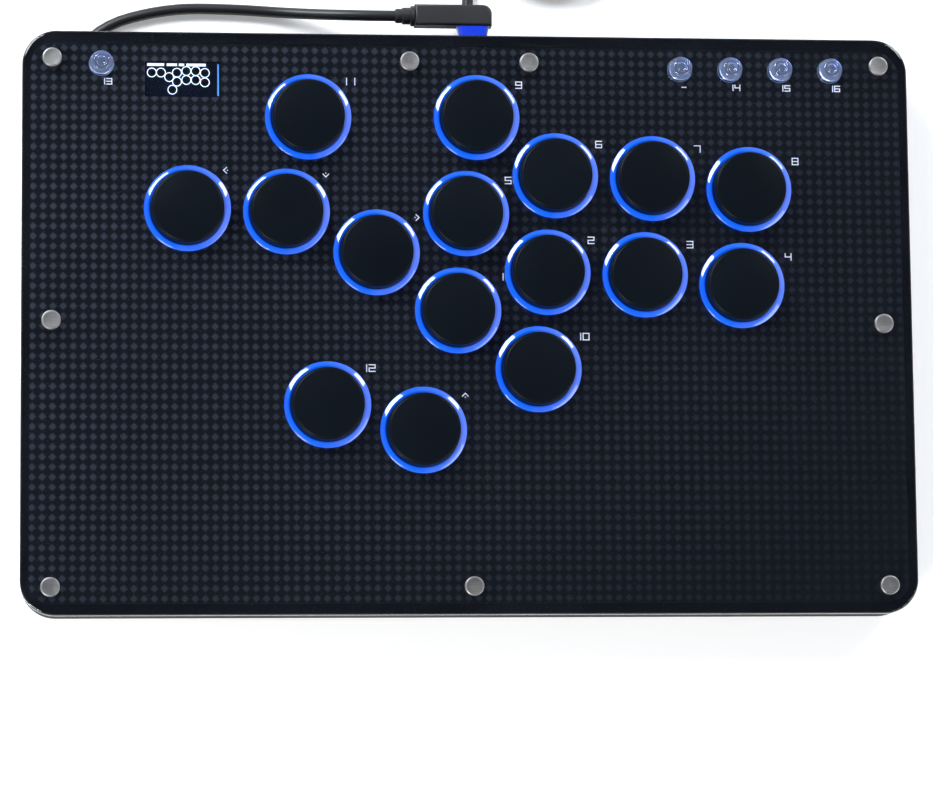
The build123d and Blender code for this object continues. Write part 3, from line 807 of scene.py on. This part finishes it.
SHELL_BLACK = Moulded("shell_black", (0.006, 0.007, 0.010), (0.012, 0.014, 0.019), 0.5,
                      specular=0.03, dust=0.02)
CAP_BLACK = Moulded("cap_black", (0.0022, 0.0036, 0.0058), (0.0040, 0.0062, 0.0098), 0.34, 0.08, 4000.0,
                    0.000006, specular=0.07)
GRIP_BLACK = Moulded("grip_black", (0.006, 0.006, 0.008), (0.014, 0.014, 0.017), 0.5, 0.15, 3000.0, 0.00003)
CABLE_BLACK = Moulded("cable_black", (0.006, 0.006, 0.007), (0.013, 0.013, 0.015), 0.42, 0.1, 1500.0, 0.00001)
FOOT_RUBBER = Moulded("foot_rubber", (0.010, 0.010, 0.011), (0.020, 0.020, 0.021), 0.8, 0.1, 1800.0, 0.00006)
SWITCH_BLACK = Moulded("switch_black", (0.012, 0.012, 0.013), (0.020, 0.020, 0.021), 0.5)
STEM_RED = Moulded("stem_red", (0.45, 0.02, 0.02), (0.6, 0.04, 0.03), 0.35)
BOARD_GREEN = Moulded("board_green", (0.005, 0.07, 0.03), (0.01, 0.11, 0.045), 0.35, 0.1, 900.0, 0.00002, 0.4)
CHIP_BLACK = Moulded("chip_black", (0.01, 0.01, 0.011), (0.02, 0.02, 0.021), 0.55, 0.1, 3500.0)
PLUG_BLUE = Moulded("plug_blue", (0.005, 0.03, 0.55), (0.01, 0.06, 0.8), 0.3, 0.1, 2500.0, 0.00001, 0.5)
# The printed marks glow with painted light; print is no lamp.
MARK_WHITE = Moulded("mark_white", (0.62, 0.66, 0.72), (0.78, 0.82, 0.88), 0.6, 0.1, 6000.0, 0.000002,
                     glow=0.55)
SCREEN_DARK = Moulded("display_dark", (0.003, 0.006, 0.018), (0.005, 0.010, 0.028), 0.12, 0.04, 5000.0,
                      0.000001, 1.0)
FASTENER = Brushed("fastener_silver", (0.27, 0.27, 0.27), (0.48, 0.48, 0.485), 0.40)
PLATE_STEEL = Brushed("plate_steel", (0.35, 0.36, 0.38), (0.5, 0.51, 0.53), 0.4, 2500.0)
SPRING_STEEL = Brushed("spring_steel", (0.55, 0.55, 0.57), (0.7, 0.7, 0.72), 0.25)
POST_BRASS = Brushed("post_brass", (0.6, 0.42, 0.16), (0.75, 0.55, 0.25), 0.3)
SOCKET_STEEL = Brushed("socket_steel", (0.55, 0.56, 0.58), (0.7, 0.71, 0.73), 0.28)
COVER_CLEAR = Clear("clear_acrylic", (0.93, 0.95, 1.0), haze=0.03)
# The function caps get a faint painted glow in their blue tint.
FUNCTION_CLEAR = Clear("function_clear", (0.42, 0.54, 0.86), haze=0.12, glow=0.12)
SHEET_WOVEN = Woven("printed_sheet", (0.0045, 0.0065, 0.0105), (0.010, 0.013, 0.019), (0.056, 0.066, 0.085))
COLLAR_LIT = Lit("collar_clear", (0.002, 0.045, 0.50), (0.006, 0.125, 0.80), (0.17, 0.27, 0.90), 0.78)


@dataclass(frozen=True)
class Shown:
    """A lit part of a display, a little uneven."""

    name: str
    colour: Colour
    dim: Colour
    strength: float

    def make(self) -> bpy.types.Material:
        """Builds the material.

        Returns:
            The material.
        """
        shader = Shader(self.name)
        patches = shader.effect(GRAIN, Broad=900.0).outputs["Patches"]
        colour = shader.mix(patches, self.dim, self.colour)
        shader.link(colour, shader.surface.inputs["Base Color"])
        shader.link(colour, shader.surface.inputs["Emission Color"])
        shader.set(Emission_Strength=self.strength, Roughness=0.5)
        return shader.material


SCREEN_WHITE = Shown("screen_white", (0.85, 0.93, 1.0), (0.6, 0.72, 0.85), 0.9)
SCREEN_BLUE = Shown("screen_blue", (0.10, 0.32, 0.85), (0.05, 0.20, 0.60), 0.8)
Finish = Moulded | Brushed | Clear | Woven | Lit | Shown
FINISHES: list[Finish] = [
    SHELL_BLACK, CAP_BLACK, GRIP_BLACK, CABLE_BLACK, FOOT_RUBBER, SWITCH_BLACK, STEM_RED, BOARD_GREEN,
    CHIP_BLACK, PLUG_BLUE, MARK_WHITE, SCREEN_DARK, FASTENER, PLATE_STEEL, SPRING_STEEL, POST_BRASS,
    SOCKET_STEEL, COVER_CLEAR, FUNCTION_CLEAR, SHEET_WOVEN, COLLAR_LIT, SCREEN_WHITE, SCREEN_BLUE,
]


# ---------------- studio


@dataclass
class Studio:
    """Camera, soft lights and a pale floor round the panel."""

    lens: float = 146.346
    place: tuple[float, float, float] = (-0.12437, -0.18286, 1.27391)
    aim: tuple[float, float, float] = (-0.00187, -0.02635, 0.022)
    roll: float = 0.55
    floor_size: float = 6.0
    floor_colour: Colour = (0.9, 0.91, 0.93)
    floor_patch: Colour = (0.93, 0.94, 0.95)

    def camera(self) -> None:
        """Sets the camera over the panel, with the back edge at the top."""
        data = bpy.data.cameras.new("camera")
        data.lens = self.lens
        data.sensor_width = 36.0
        data.clip_start = 0.01
        camera = bpy.data.objects.new("camera", data)
        ahead = (Vector(self.aim) - Vector(self.place)).normalized()
        level = ahead.cross(Vector((0.0, 1.0, 0.0))).normalized()
        upright = level.cross(ahead)
        turn = math.radians(self.roll)
        right = level * math.cos(turn) - upright * math.sin(turn)
        up = level * math.sin(turn) + upright * math.cos(turn)
        rotation = Matrix((right, up, -ahead)).transposed().to_4x4()
        camera.matrix_world = Matrix.Translation(self.place) @ rotation
        bpy.context.scene.collection.objects.link(camera)
        bpy.context.scene.camera = camera

    def lamp(self, name: str, place: tuple[float, float, float], size: Place, watts: float,
             tint: Colour) -> None:
        """Hangs one soft lamp that faces the panel.

        Args:
            name: The lamp's name.
            place: Where it hangs.
            size: Its width and depth.
            watts: Its power.
            tint: Its colour.
        """
        data = bpy.data.lights.new(name, "AREA")
        data.shape = "RECTANGLE"
        data.size, data.size_y = size
        data.energy = watts
        data.color = tint
        lamp = bpy.data.objects.new(name, data)
        lamp.location = place
        lamp.rotation_euler = (-Vector(place)).to_track_quat("-Z", "Y").to_euler()
        bpy.context.scene.collection.objects.link(lamp)

    def floor(self) -> None:
        """Lays the pale floor."""
        deselect()
        bpy.ops.mesh.primitive_plane_add(size=self.floor_size, location=(0.0, 0.0, -0.0002))
        floor = settle(bpy.context.object, "floor")
        shader = Shader("floor")
        patches = shader.effect(GRAIN, Broad=3.0).outputs["Patches"]
        colour = shader.mix(patches, self.floor_colour, self.floor_patch)
        shader.link(colour, shader.surface.inputs["Base Color"])
        shader.set(Roughness=0.9, Specular_IOR_Level=0.1)
        shader.set(Emission_Color=(1.0, 1.0, 1.0, 1.0), Emission_Strength=0.3)
        floor.data.materials.append(shader.material)

    def sky(self) -> None:
        """Surrounds the panel with light that fades out overhead."""
        world = bpy.data.worlds.new("studio")
        world.use_nodes = True
        tree = world.node_tree
        apart = tree.nodes.new("ShaderNodeSeparateXYZ")
        ramp = tree.nodes.new("ShaderNodeValToRGB")
        ramp.color_ramp.elements[0].color = (0.75, 0.78, 0.85, 1.0)
        ramp.color_ramp.elements[1].color = (0.02, 0.024, 0.032, 1.0)
        ramp.color_ramp.elements[1].position = 0.86
        tree.links.new(tree.nodes.new("ShaderNodeTexCoord").outputs["Generated"], apart.inputs[0])
        tree.links.new(apart.outputs["Z"], ramp.inputs["Fac"])
        tree.links.new(ramp.outputs["Color"], tree.nodes["Background"].inputs["Color"])
        bpy.context.scene.world = world

    def build(self) -> None:
        """Sets up the whole studio."""
        bpy.context.scene.view_settings.view_transform = "Standard"
        self.camera()
        self.floor()
        self.sky()
        self.lamp("back_left", (-0.75, 0.85, 0.95), (0.7, 0.45), 26.0, (0.92, 0.96, 1.0))
        self.lamp("back_right", (0.8, 0.75, 0.8), (0.35, 0.5), 9.0, (0.95, 0.97, 1.0))
        self.lamp("front_left", (-0.75, -0.85, 0.65), (0.5, 0.3), 13.0, (1.0, 0.97, 0.92))
        self.lamp("front_right", (1.1, -0.8, 0.7), (1.1, 0.7), 9.0, (1.0, 1.0, 1.0))
        LOG.info("studio ready")


# ---------------- lead


@dataclass
class Lead:
    """The plug in the socket, the lead behind and under the panel, its coil and the plug at the far end.

    The neck's steps are in millimetres.
    """

    diameter: float = 0.0038
    length: float = 1.5
    coil_centre: Place = (0.0307, 0.1475)
    coil_radii: tuple[float, ...] = (0.0285, 0.0247, 0.0209, 0.0171)
    lay_height: float = 0.00192
    turn_points: int = 24
    crossover: float = 0.2
    last_part: float = 0.25
    tail_aside: float = 0.0125
    tail_height: float = 0.004
    neck_length: float = 0.0066
    nose_half: Place = (0.0056, 0.0027)
    nose_depth: float = 0.0043
    nose_taper: float = 0.82
    sleeve_half: Place = (0.0041, 0.0012)
    far_shell_length: float = 0.0125
    far_shell_half: float = 0.006
    far_shell_heights: Place = (0.00175, 0.00625)
    far_shell_wall: float = 0.0004
    far_grip_length: float = 0.024
    far_grip_height: float = 0.008
    neck_steps: tuple[Place, ...] = (
        (3.5, 0.0), (3.5, 1.2), (2.9, 1.5), (2.9, 4.0), (2.5, 4.3), (2.5, 6.1), (2.1, 6.55))

    def route(self) -> list[tuple[float, float, float]]:
        """The stretch given point by point, from the plug's neck to the coil.

        Returns:
            Its points.
        """
        low = self.lay_height / MM
        points = [
            (-24.3, 106.5, 12.03), (-40.0, 106.5, 12.03), (-60.0, 109.2, 2.2), (-80.0, 110.5, low),
            (-102.0, 110.4, low), (-126.0, 103.5, low), (-138.0, 84.0, low), (-132.5, 62.0, low),
            (-112.0, 52.0, low), (-75.0, 54.0, low), (-42.0, 61.0, low), (-16.0, 71.0, low),
            (-1.5, 89.0, low), (1.9, 112.0, low), (2.2, 139.0, low),
        ]
        return [(x * MM, y * MM, z * MM) for x, y, z in points]

    def turns(self) -> list[tuple[float, float, float]]:
        """The coil's turns: in along the table, up one layer, and out again to the top of the coil.

        Returns:
            Their points.
        """
        radii = [*self.coil_radii, *reversed(self.coil_radii)]
        # The spline runs inside its points by this share of the radius.
        shrink = (6.0 + 2.0 * math.cos(2.0 * math.pi / self.turn_points)) / 8.0
        high = self.lay_height + self.diameter
        points = []
        for step in range(int((len(radii) + self.last_part) * self.turn_points) + 1):
            turn, part = divmod(step / self.turn_points, 1.0)
            turn = int(turn)
            here = radii[min(turn, len(radii) - 1)]
            after = radii[min(turn + 1, len(radii) - 1)]
            late = max(0.0, (part - 1.0 + self.crossover) / self.crossover)
            ease = late * late * (3.0 - 2.0 * late)
            radius = (here + (after - here) * ease) / shrink
            layer = len(self.coil_radii)
            z = self.lay_height if turn < layer - 1 else high
            if turn == layer - 1:
                z = self.lay_height + self.diameter * ease
            angle = math.pi - 2.0 * math.pi * step / self.turn_points
            x = self.coil_centre[0] + radius * math.cos(angle)
            y = self.coil_centre[1] + radius * math.sin(angle)
            points.append((x, y, z))
        return points

    def cord(self) -> bpy.types.Object:
        """Lays the lead as one smooth spline.

        Returns:
            The lead.
        """
        x, y = self.coil_centre
        tail = (x + self.tail_aside, y + self.coil_radii[0], self.tail_height)
        points = [*self.route(), *self.turns(), tail]
        curve = bpy.data.curves.new("lead", "CURVE")
        curve.dimensions = "3D"
        curve.bevel_depth = self.diameter / 2
        curve.bevel_resolution = 5
        curve.resolution_u = 6
        curve.use_fill_caps = True
        spline = curve.splines.new("NURBS")
        spline.points.add(len(points) - 1)
        for point, place in zip(spline.points, points):
            point.co = (*place, 1.0)
        spline.order_u = 3
        spline.use_endpoint_u = True
        lead = bpy.data.objects.new("lead", curve)
        bpy.context.scene.collection.objects.link(lead)
        return lead

    def near_plug(self) -> list[bpy.types.Object]:
        """Makes the right-angle grip, its stepped neck, the blue nose and the metal sleeve.

        Returns:
            The pieces.
        """
        low, high = node_box("plug_grip")
        start = self.route()[0]
        block_left = start[0] + self.neck_length
        grip = rounded_block("plug_grip_body", Vector((block_left, low.y, low.z)), high, [])
        self.round_heel(grip, high)
        neck = lathe("plug_neck", (0.0, 0.0), in_metres(self.neck_steps), 48)
        lie_down = Matrix.Rotation(-math.pi / 2, 4, "Y")
        neck.data.transform(Matrix.Translation((block_left, start[1], start[2])) @ lie_down)
        shell_low, shell_high = node_box("plug_shell")
        middle = (shell_low.x + shell_high.x) / 2
        half, rise = self.nose_half
        nose_low = Vector((middle - half, shell_high.y - self.nose_depth, start[2] - rise))
        nose_high = Vector((middle + half, shell_high.y, start[2] + rise))
        nose = rounded_block("plug_nose", nose_low, nose_high, [(Axis.Y, 0.0016, 6)])
        for vertex in nose.data.vertices:
            if vertex.co.y < nose_low.y + 0.0001:
                vertex.co.x = middle + (vertex.co.x - middle) * self.nose_taper
        half, rise = self.sleeve_half
        sleeve = rounded_block(
            "plug_sleeve", Vector((middle - half, shell_low.y, start[2] - rise)),
            Vector((middle + half, nose_low.y + 0.0005, start[2] + rise)), [(Axis.Y, 0.001, 6)])
        ride(grip, GRIP_BLACK, "root", "grip_black", "plug_grip")
        ride(neck, GRIP_BLACK, "root", "grip_black", "plug_grip")
        ride(nose, PLUG_BLUE, "root", "plug_blue", "plug_shell")
        ride(sleeve, SOCKET_STEEL, "root", "plug_blue", "plug_shell")
        return [grip, neck, nose, sleeve]

    def round_heel(self, grip: bpy.types.Object, high: Vector) -> None:
        """Rounds the grip's right rear corner and its upper and lower rims.

        Args:
            grip: The grip's block.
            high: Its highest corner.
        """
        def at_heel(a: Vector, b: Vector) -> bool:
            """Tells whether an edge stands at the right rear corner."""
            upright = abs(a.z - b.z) > 0.004
            return upright and min(a.x, b.x) > high.x - 0.001 and min(a.y, b.y) > high.y - 0.001

        bevel_where(grip, at_heel, 0.003, 8)
        bevel_where(grip, lambda a, b: abs(a.z - b.z) < 1e-6, 0.0008, 3)
        smooth(grip)

    def far_plug(self) -> list[bpy.types.Object]:
        """Makes the far plug: its grip with a ribbed tail, and its open metal shell.

        Returns:
            The pieces.
        """
        low, high = node_box("far_plug")
        middle_y = (low.y + high.y) / 2
        tip = high.x - self.far_shell_length
        root = tip - self.far_grip_length
        grip = rounded_block(
            "far_plug_grip", Vector((root, low.y, 0.0)), Vector((tip, high.y, self.far_grip_height)),
            [(Axis.ALL, 0.0014, 4)])
        ribs = [(2.6, 0.0)]
        for i in range(5):
            start = 1.0 + 2.1 * i
            ribs += [(2.6 - 0.08 * i, start), (2.25 - 0.05 * i, start + 0.3), (2.25 - 0.05 * i, start + 0.8),
                     (2.55 - 0.08 * i, start + 1.1)]
        ribs += [(2.15, 11.5)]
        tail = lathe("far_plug_tail", (0.0, 0.0), in_metres(ribs), 40)
        lie_down = Matrix.Rotation(-math.pi / 2, 4, "Y")
        place = Matrix.Translation((root + 0.0005, middle_y, self.far_grip_height / 2))
        tail.data.transform(place @ lie_down)
        bottom, top = self.far_shell_heights
        shell = rounded_block(
            "far_plug_shell", Vector((tip, middle_y - self.far_shell_half, bottom)),
            Vector((high.x, middle_y + self.far_shell_half, top)), [(Axis.X, self.far_shell_wall, 2)])
        hollow(shell, self.far_shell_wall, 0.0085)
        ride(grip, GRIP_BLACK, "root", "grip_black", "far_plug")
        ride(tail, GRIP_BLACK, "root", "grip_black", "far_plug")
        ride(shell, SOCKET_STEEL, "root", "socket_steel", "far_plug")
        return [grip, tail, shell]

    def build(self) -> None:
        """Makes the lead and everything on it."""
        lead = self.cord()
        ride(lead, CABLE_BLACK, "root", "cable_black", "cable", "cable_coil")
        pieces = [*self.near_plug(), *self.far_plug()]
        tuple(self.route()[0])


# ---------------- panel


@dataclass
class Panel:
    """The clear cover and the rubber feet."""

    corner: float = 0.0115
    edge: float = 0.0009
    underside_gap: float = 0.00005
    barrel_hole: float = 0.0137
    function_hole: float = 0.00405
    screw_hole: float = 0.00165

    def cover(self) -> None:
        """Cuts the clear cover, with a hole for every collar, function cap and screw."""
        low, high = node_box("clear_cover")
        low.z += self.underside_gap
        cover = rounded_block("cover", low, high, [(Axis.Z, self.corner, 16)])
        bevel_where(cover, lambda a, b: min(a.z, b.z) > high.z - 1e-6, self.edge, 4)
        holes = [(node_centre(f"cap_{name}"), self.barrel_hole) for name in GAME_BUTTONS]
        holes += [(node_centre(f"cap_{name}"), self.function_hole) for name in FUNCTION_BUTTONS]
        holes += [(middle_of(*box), self.screw_hole) for box in islands("cover_screws")]
        deselect()
        cutters = []
        for centre, radius in holes:
            bpy.ops.mesh.primitive_cylinder_add(
                vertices=64, radius=radius, depth=0.02, location=(centre[0], centre[1], (low.z + high.z) / 2))
            cutters.append(bpy.context.object)
        for cutter in cutters:
            cutter.select_set(True)
        bpy.context.view_layer.objects.active = cutters[0]
        bpy.ops.object.join()
        tool = bpy.context.object
        cut = cover.modifiers.new("holes", "BOOLEAN")
        cut.operation = "DIFFERENCE"
        cut.solver = "EXACT"
        cut.object = tool
        choose(cover)
        bpy.ops.object.modifier_apply(modifier=cut.name)
        bpy.data.objects.remove(tool)
        smooth(cover)
        ride(cover, COVER_CLEAR, "root", "clear_acrylic", "clear_cover")

    def feet(self) -> None:
        """Turns the four rubber feet, with a groove round each."""
        _, high = node_box("rubber_feet")
        outline = [(7.0, 0.0), *arc((7.2, 0.8), 0.8, -90.0, 0.0, 5), (8.0, 3.2), (7.7, 3.4), (7.7, 3.9),
                   (8.0, 4.1), (8.0, high.z / MM)]
        for i, box in enumerate(islands("rubber_feet")):
            foot = lathe(f"foot_{i + 1}", middle_of(*box), in_metres(outline), 64)
            ride(foot, FOOT_RUBBER, "root", "foot_rubber", "rubber_feet")

    def build(self) -> None:
        """Makes the panel's own pieces."""
        self.cover()
        self.feet()


# ---------------- buttons


@dataclass
class GameButtons:
    """The sixteen domed caps and their lit collars, in millimetres."""

    radius: float = 12.15
    skirt: float = 21.2
    edge: float = 27.0
    dome: float = 0.95
    rim: float = 1.1
    wall: float = 1.55
    lip: float = 0.15
    ceiling: float = 25.4
    inner: float = 12.6
    barrel: float = 13.6
    outer: float = 14.5
    foot: float = 14.2
    top: float = 22.0
    shoulder: float = 23.0
    crest: float = 23.6

    def cap_outline(self) -> Outline:
        """The cap's section: cavity, skirt, rolled rim and shallow dome.

        Returns:
            Its outline in metres.
        """
        dome_radius = (self.radius ** 2 + self.dome ** 2) / (2 * self.dome)
        middle = self.edge + self.dome - dome_radius
        rim_middle = self.radius - self.rim
        start = math.degrees(math.asin(rim_middle / dome_radius))
        dome = arc((0.0, middle), dome_radius, 90.0 - start, 90.0 - 0.15, 14)
        rim_z = dome[0][1] - self.rim
        rim = arc((rim_middle, rim_z), self.rim, 0.0, 84.0, 7)
        hollow_wall = self.radius - self.wall
        outline = [(hollow_wall, self.ceiling), (hollow_wall, self.skirt + self.lip),
                   (hollow_wall + self.lip, self.skirt), (self.radius - self.lip, self.skirt),
                   (self.radius, self.skirt + self.lip), *rim, *dome]
        return in_metres(outline)

    def collar_outline(self) -> Outline:
        """The collar's section: barrel below the cover and a rolled flange on it.

        Returns:
            Its outline in metres.
        """
        outline = [
            (self.inner, self.foot), (self.barrel, self.foot), (self.barrel, self.top),
            (self.outer, self.top + 0.02),
            *arc((self.outer - 0.35, self.shoulder - 0.35), 0.35, 0.0, 70.0, 4),
            *arc((self.inner + 0.5, self.crest - 0.3), 0.3, 70.0, 130.0, 4), (self.inner, self.crest - 0.6),
            (self.inner, self.foot),
        ]
        return in_metres(outline)

    def map_ring(self, collar: bpy.types.Object, centre: Place) -> None:
        """Maps a collar: U runs from its deeper side to its paler side, painted light and shade alike on
        every collar, and V from its inside out.

        Args:
            collar: The collar.
            centre: Its middle.
        """
        layer = collar.data.uv_layers.new(name=RING_MAP)
        for loop in collar.data.loops:
            point = collar.data.vertices[loop.vertex_index].co
            x, y = point.x - centre[0], point.y - centre[1]
            angle = math.atan2(y, x)
            # Painted light and shade: U is highest on the right of every collar and lowest on its left.
            pale = 0.5 + 0.32 * math.cos(angle + math.radians(35.0)) + 0.18 * math.sin(angle)
            across = (math.hypot(x, y) / MM - self.inner) / (self.outer - self.inner)
            layer.data[loop.index].uv = (pale, across)

    def build(self) -> None:
        """Turns one cap and one collar, and copies them to every place."""
        first = node_centre("cap_left")
        cap = lathe("cap_left_top", first, self.cap_outline(), 128)
        collar = lathe("collar_left", first, self.collar_outline(), 128)
        self.map_ring(collar, first)
        for name in GAME_BUTTONS:
            place = node_centre(f"cap_{name}")
            move = (place[0] - first[0], place[1] - first[1])
            here = name == "left"
            a_cap = cap if here else copy_to(cap, f"cap_{name}_top", move)
            a_collar = collar if here else copy_to(collar, f"collar_{name}", move)
            ride(a_cap, CAP_BLACK, f"button_{name}", "cap_black", f"cap_{name}")
            ride(a_collar, COLLAR_LIT, "root", "collar_clear", "button_collars")


@dataclass
class FunctionButtons:
    """The five small clear caps along the back edge, in millimetres."""

    rise: tuple[tuple[float, float], ...] = (
        (3.85, 23.3), (3.75, 23.6), (3.35, 23.85), (3.2, 24.1), (2.95, 24.55), (2.5, 24.85), (2.1, 25.0),
        (1.75, 24.9), (1.55, 24.7), (1.45, 24.6), (0.9, 24.4), (0.3, 24.3))
    flange_low: float = 17.2
    flange_high: float = 18.2

    def build(self) -> None:
        """Turns one cap and copies it to every place."""
        first = node_centre("cap_function_1")
        low, _ = node_box("cap_function_1")
        outline = [(1.7, low.z / MM), (1.7, self.flange_low), (5.2, self.flange_low), (5.2, self.flange_high),
                   (3.85, self.flange_high), *self.rise]
        cap = lathe("function_cap_1", first, in_metres(outline), 64)
        for i, name in enumerate(FUNCTION_BUTTONS):
            place = node_centre(f"cap_{name}")
            move = (place[0] - first[0], place[1] - first[1])
            piece = cap if i == 0 else copy_to(cap, f"function_cap_{i + 1}", move)
            ride(piece, FUNCTION_CLEAR, f"button_{name}", "function_clear", f"cap_{name}")


@dataclass
class Fasteners:
    """The nine flat-headed screws of the cover, in millimetres."""

    shank: float = 1.45
    head: float = 3.2
    seat: float = 22.0

    def build(self) -> None:
        """Turns every screw."""
        for i, (low, high) in enumerate(islands("cover_screws")):
            top = high.z / MM
            outline = [(self.shank, low.z / MM), (self.shank, self.seat), (self.head, self.seat),
                       (self.head, top - 0.35), (self.head - 0.12, top - 0.12), (self.head - 0.35, top),
                       (self.head - 0.55, top - 0.03), (0.3, top - 0.03)]
            screw = lathe(f"cover_screw_{i + 1}", middle_of(low, high), in_metres(outline), 64)
            ride(screw, FASTENER, "root", "fastener_silver", "cover_screws")


# ---------------- printing and display


@dataclass
class Strokes:
    """Flat marks made of straight bars, all in one piece, in millimetres."""

    name: str
    low: float
    high: float
    width: float = 0.4
    first: bool = True

    def bar(self, start: Place, end: Place) -> None:
        """Adds one bar between two places, in millimetres.

        Args:
            start: One end.
            end: The other end.
        """
        run = Vector((end[0] - start[0], end[1] - start[1]))
        size = (run.length + self.width, self.width, self.high - self.low)
        middle = ((start[0] + end[0]) / 2, (start[1] + end[1]) / 2, (self.low + self.high) / 2)
        if self.first:
            deselect()
        bpy.ops.mesh.primitive_cube_add(
            size=1.0, location=[v * MM for v in middle], rotation=(0.0, 0.0, math.atan2(run.y, run.x)),
            scale=[v * MM for v in size])
        if self.first:
            bpy.ops.object.mode_set(mode="EDIT")
            self.first = False

    def finish(self) -> bpy.types.Object:
        """Closes the piece and names it."""
        bpy.ops.object.mode_set(mode="OBJECT")
        return settle(bpy.context.object, self.name)


class Arrow(Enum):
    """Which way an arrow points, in degrees."""

    RIGHT = 0.0
    UP = 90.0
    LEFT = 180.0
    DOWN = 270.0


@dataclass
class Labels:
    """Plain numbers, arrows and a dash beside the buttons, in millimetres."""

    height: float = 2.2
    width: float = 2.0
    low: float = 19.005
    high: float = 19.035

    SEGMENTS = {
        "a": ((0, 1), (1, 1)), "b": ((1, 1), (1, 0.5)), "c": ((1, 0.5), (1, 0)), "d": ((0, 0), (1, 0)),
        "e": ((0, 0.5), (0, 0)), "f": ((0, 1), (0, 0.5)), "g": ((0, 0.5), (1, 0.5)),
    }
    DIGITS = ["abcdef", "bc", "abged", "abgcd", "fgbc", "afgcd", "afgecd", "abc", "abcdefg", "abcdfg"]

    def number(self, strokes: Strokes, value: int, centre: Place, scale: float = 1.0) -> None:
        """Prints a number.

        Args:
            strokes: The piece it goes into.
            value: The number.
            centre: Its middle, in millimetres.
            scale: Its size against the usual one.
        """
        text = str(value)
        width, height = self.width * scale, self.height * scale
        pitch = width * 1.4
        left = centre[0] - (pitch * (len(text) - 1) + width) / 2
        for i, digit in enumerate(text):
            for segment in self.DIGITS[int(digit)]:
                (x0, y0), (x1, y1) = self.SEGMENTS[segment]
                corner = (left + i * pitch, centre[1] - height / 2)
                strokes.bar((corner[0] + x0 * width, corner[1] + y0 * height),
                            (corner[0] + x1 * width, corner[1] + y1 * height))

    def arrow(self, strokes: Strokes, way: Arrow, centre: Place) -> None:
        """Prints a small open arrow.

        Args:
            strokes: The piece it goes into.
            way: Where it points.
            centre: Its middle, in millimetres.
        """
        turn = math.radians(way.value)

        def place(ahead: float, aside: float) -> Place:
            """A point ahead of the arrow's middle and to its side."""
            return (centre[0] + ahead * math.cos(turn) - aside * math.sin(turn),
                    centre[1] + ahead * math.sin(turn) + aside * math.cos(turn))

        strokes.bar(place(0.6, 0.0), place(-0.4, 0.95))
        strokes.bar(place(0.6, 0.0), place(-0.4, -0.95))
        strokes.bar(place(-0.75, 0.0), place(-0.7, 0.0))

    def build(self) -> None:
        """Prints every mark on the sheet."""
        strokes = Strokes("labels", self.low, self.high, 0.34)
        ways = {"left": Arrow.LEFT, "down": Arrow.DOWN, "right": Arrow.RIGHT, "up": Arrow.UP}
        for name in GAME_BUTTONS:
            x, y = (value / MM for value in node_centre(f"cap_{name}"))
            centre = (x + 14.6 + 0.02 * x, y + 11.8 - 0.017 * x)
            if name in ways:
                self.arrow(strokes, ways[name], centre)
            else:
                kind, count = name.split("_")
                self.number(strokes, int(count) + (8 if kind == "extra" else 0), centre)
        for i, name in enumerate(FUNCTION_BUTTONS):
            x, y = (value / MM for value in node_centre(f"cap_{name}"))
            centre = (x + 1.4, y - 6.0)
            if i == 1:
                strokes.bar((centre[0] - 0.7, centre[1]), (centre[0] + 0.7, centre[1]))
            else:
                self.number(strokes, 13 + i - (i > 1), centre, 0.85)
        ride(strokes.finish(), MARK_WHITE, "root", "printed_sheet")


@dataclass
class Display:
    """What the small display shows, in millimetres: a row of bars, an edge line and twelve rings."""

    pitch: float = 3.06
    ring: float = 1.35
    line: float = 0.3
    columns: tuple[tuple[float, float], ...] = (
        (0.0, 0.0), (1.0, 0.0), (1.9, -0.5), (2.75, 0.0), (3.78, 0.2), (4.8, 0.2), (5.8, 0.0),
        (2.75, -1.0), (3.78, -0.8), (4.8, -0.8), (5.8, -1.05), (2.25, -1.9))

    def build(self) -> None:
        """Lights the display's marks just over its glass."""
        low, high = node_box("display_glass")
        x = (low.x + high.x) / 2 / MM
        y = (low.y + high.y) / 2 / MM
        z = high.z / MM + 0.005
        strokes = Strokes("display_bars", z, z + 0.03, 0.9)
        for start, end in ((-11.4, -6.6), (-4.9, -2.3), (-0.8, 0.1), (1.7, 7.3)):
            strokes.bar((x + start, y + 4.9), (x + end, y + 4.9))
        ride(strokes.finish(), SCREEN_WHITE, "root", "display_dark")
        edge = Strokes("display_edge", z, z + 0.03, 0.5)
        edge.bar((x + 11.9, y - 5.4), (x + 11.9, y + 4.9))
        ride(edge.finish(), SCREEN_BLUE, "root", "display_dark")
        for i, (column, row) in enumerate(self.columns):
            centre = ((x - 10.3 + column * self.pitch) * MM, (y + 2.2 + row * self.pitch) * MM)
            outline = [(self.ring, z), (self.ring + self.line, z), (self.ring + self.line, z + 0.03),
                       (self.ring, z + 0.03), (self.ring, z)]
            ring = lathe(f"display_ring_{i + 1}", centre, in_metres(outline), 32)
            ride(ring, SCREEN_WHITE, "root", "display_dark")


# ---------------- the rest of the frame


def dress_frame() -> None:
    """Gives every node of the frame its finish."""
    for part in frame["record"]["subparts"]:
        node = frame["nodes"][part["node"]]
        material = MATERIALS[part["material_slot"]]
        for slot in node.material_slots:
            slot.material = material
    LOG.info("dressed %d nodes", len(frame["nodes"]))


def main() -> None:
    """Builds everything in order."""
    logging.basicConfig(level=logging.INFO, format="%(name)s: %(message)s")
    for finish in FINISHES:
        MATERIALS[finish.name] = finish.make()
    dress_frame()
    Studio().build()
    Lead().build()
    Panel().build()
    GameButtons().build()
    FunctionButtons().build()
    Fasteners().build()
    Labels().build()
    Display().build()


if __name__ == "__main__":
    main()
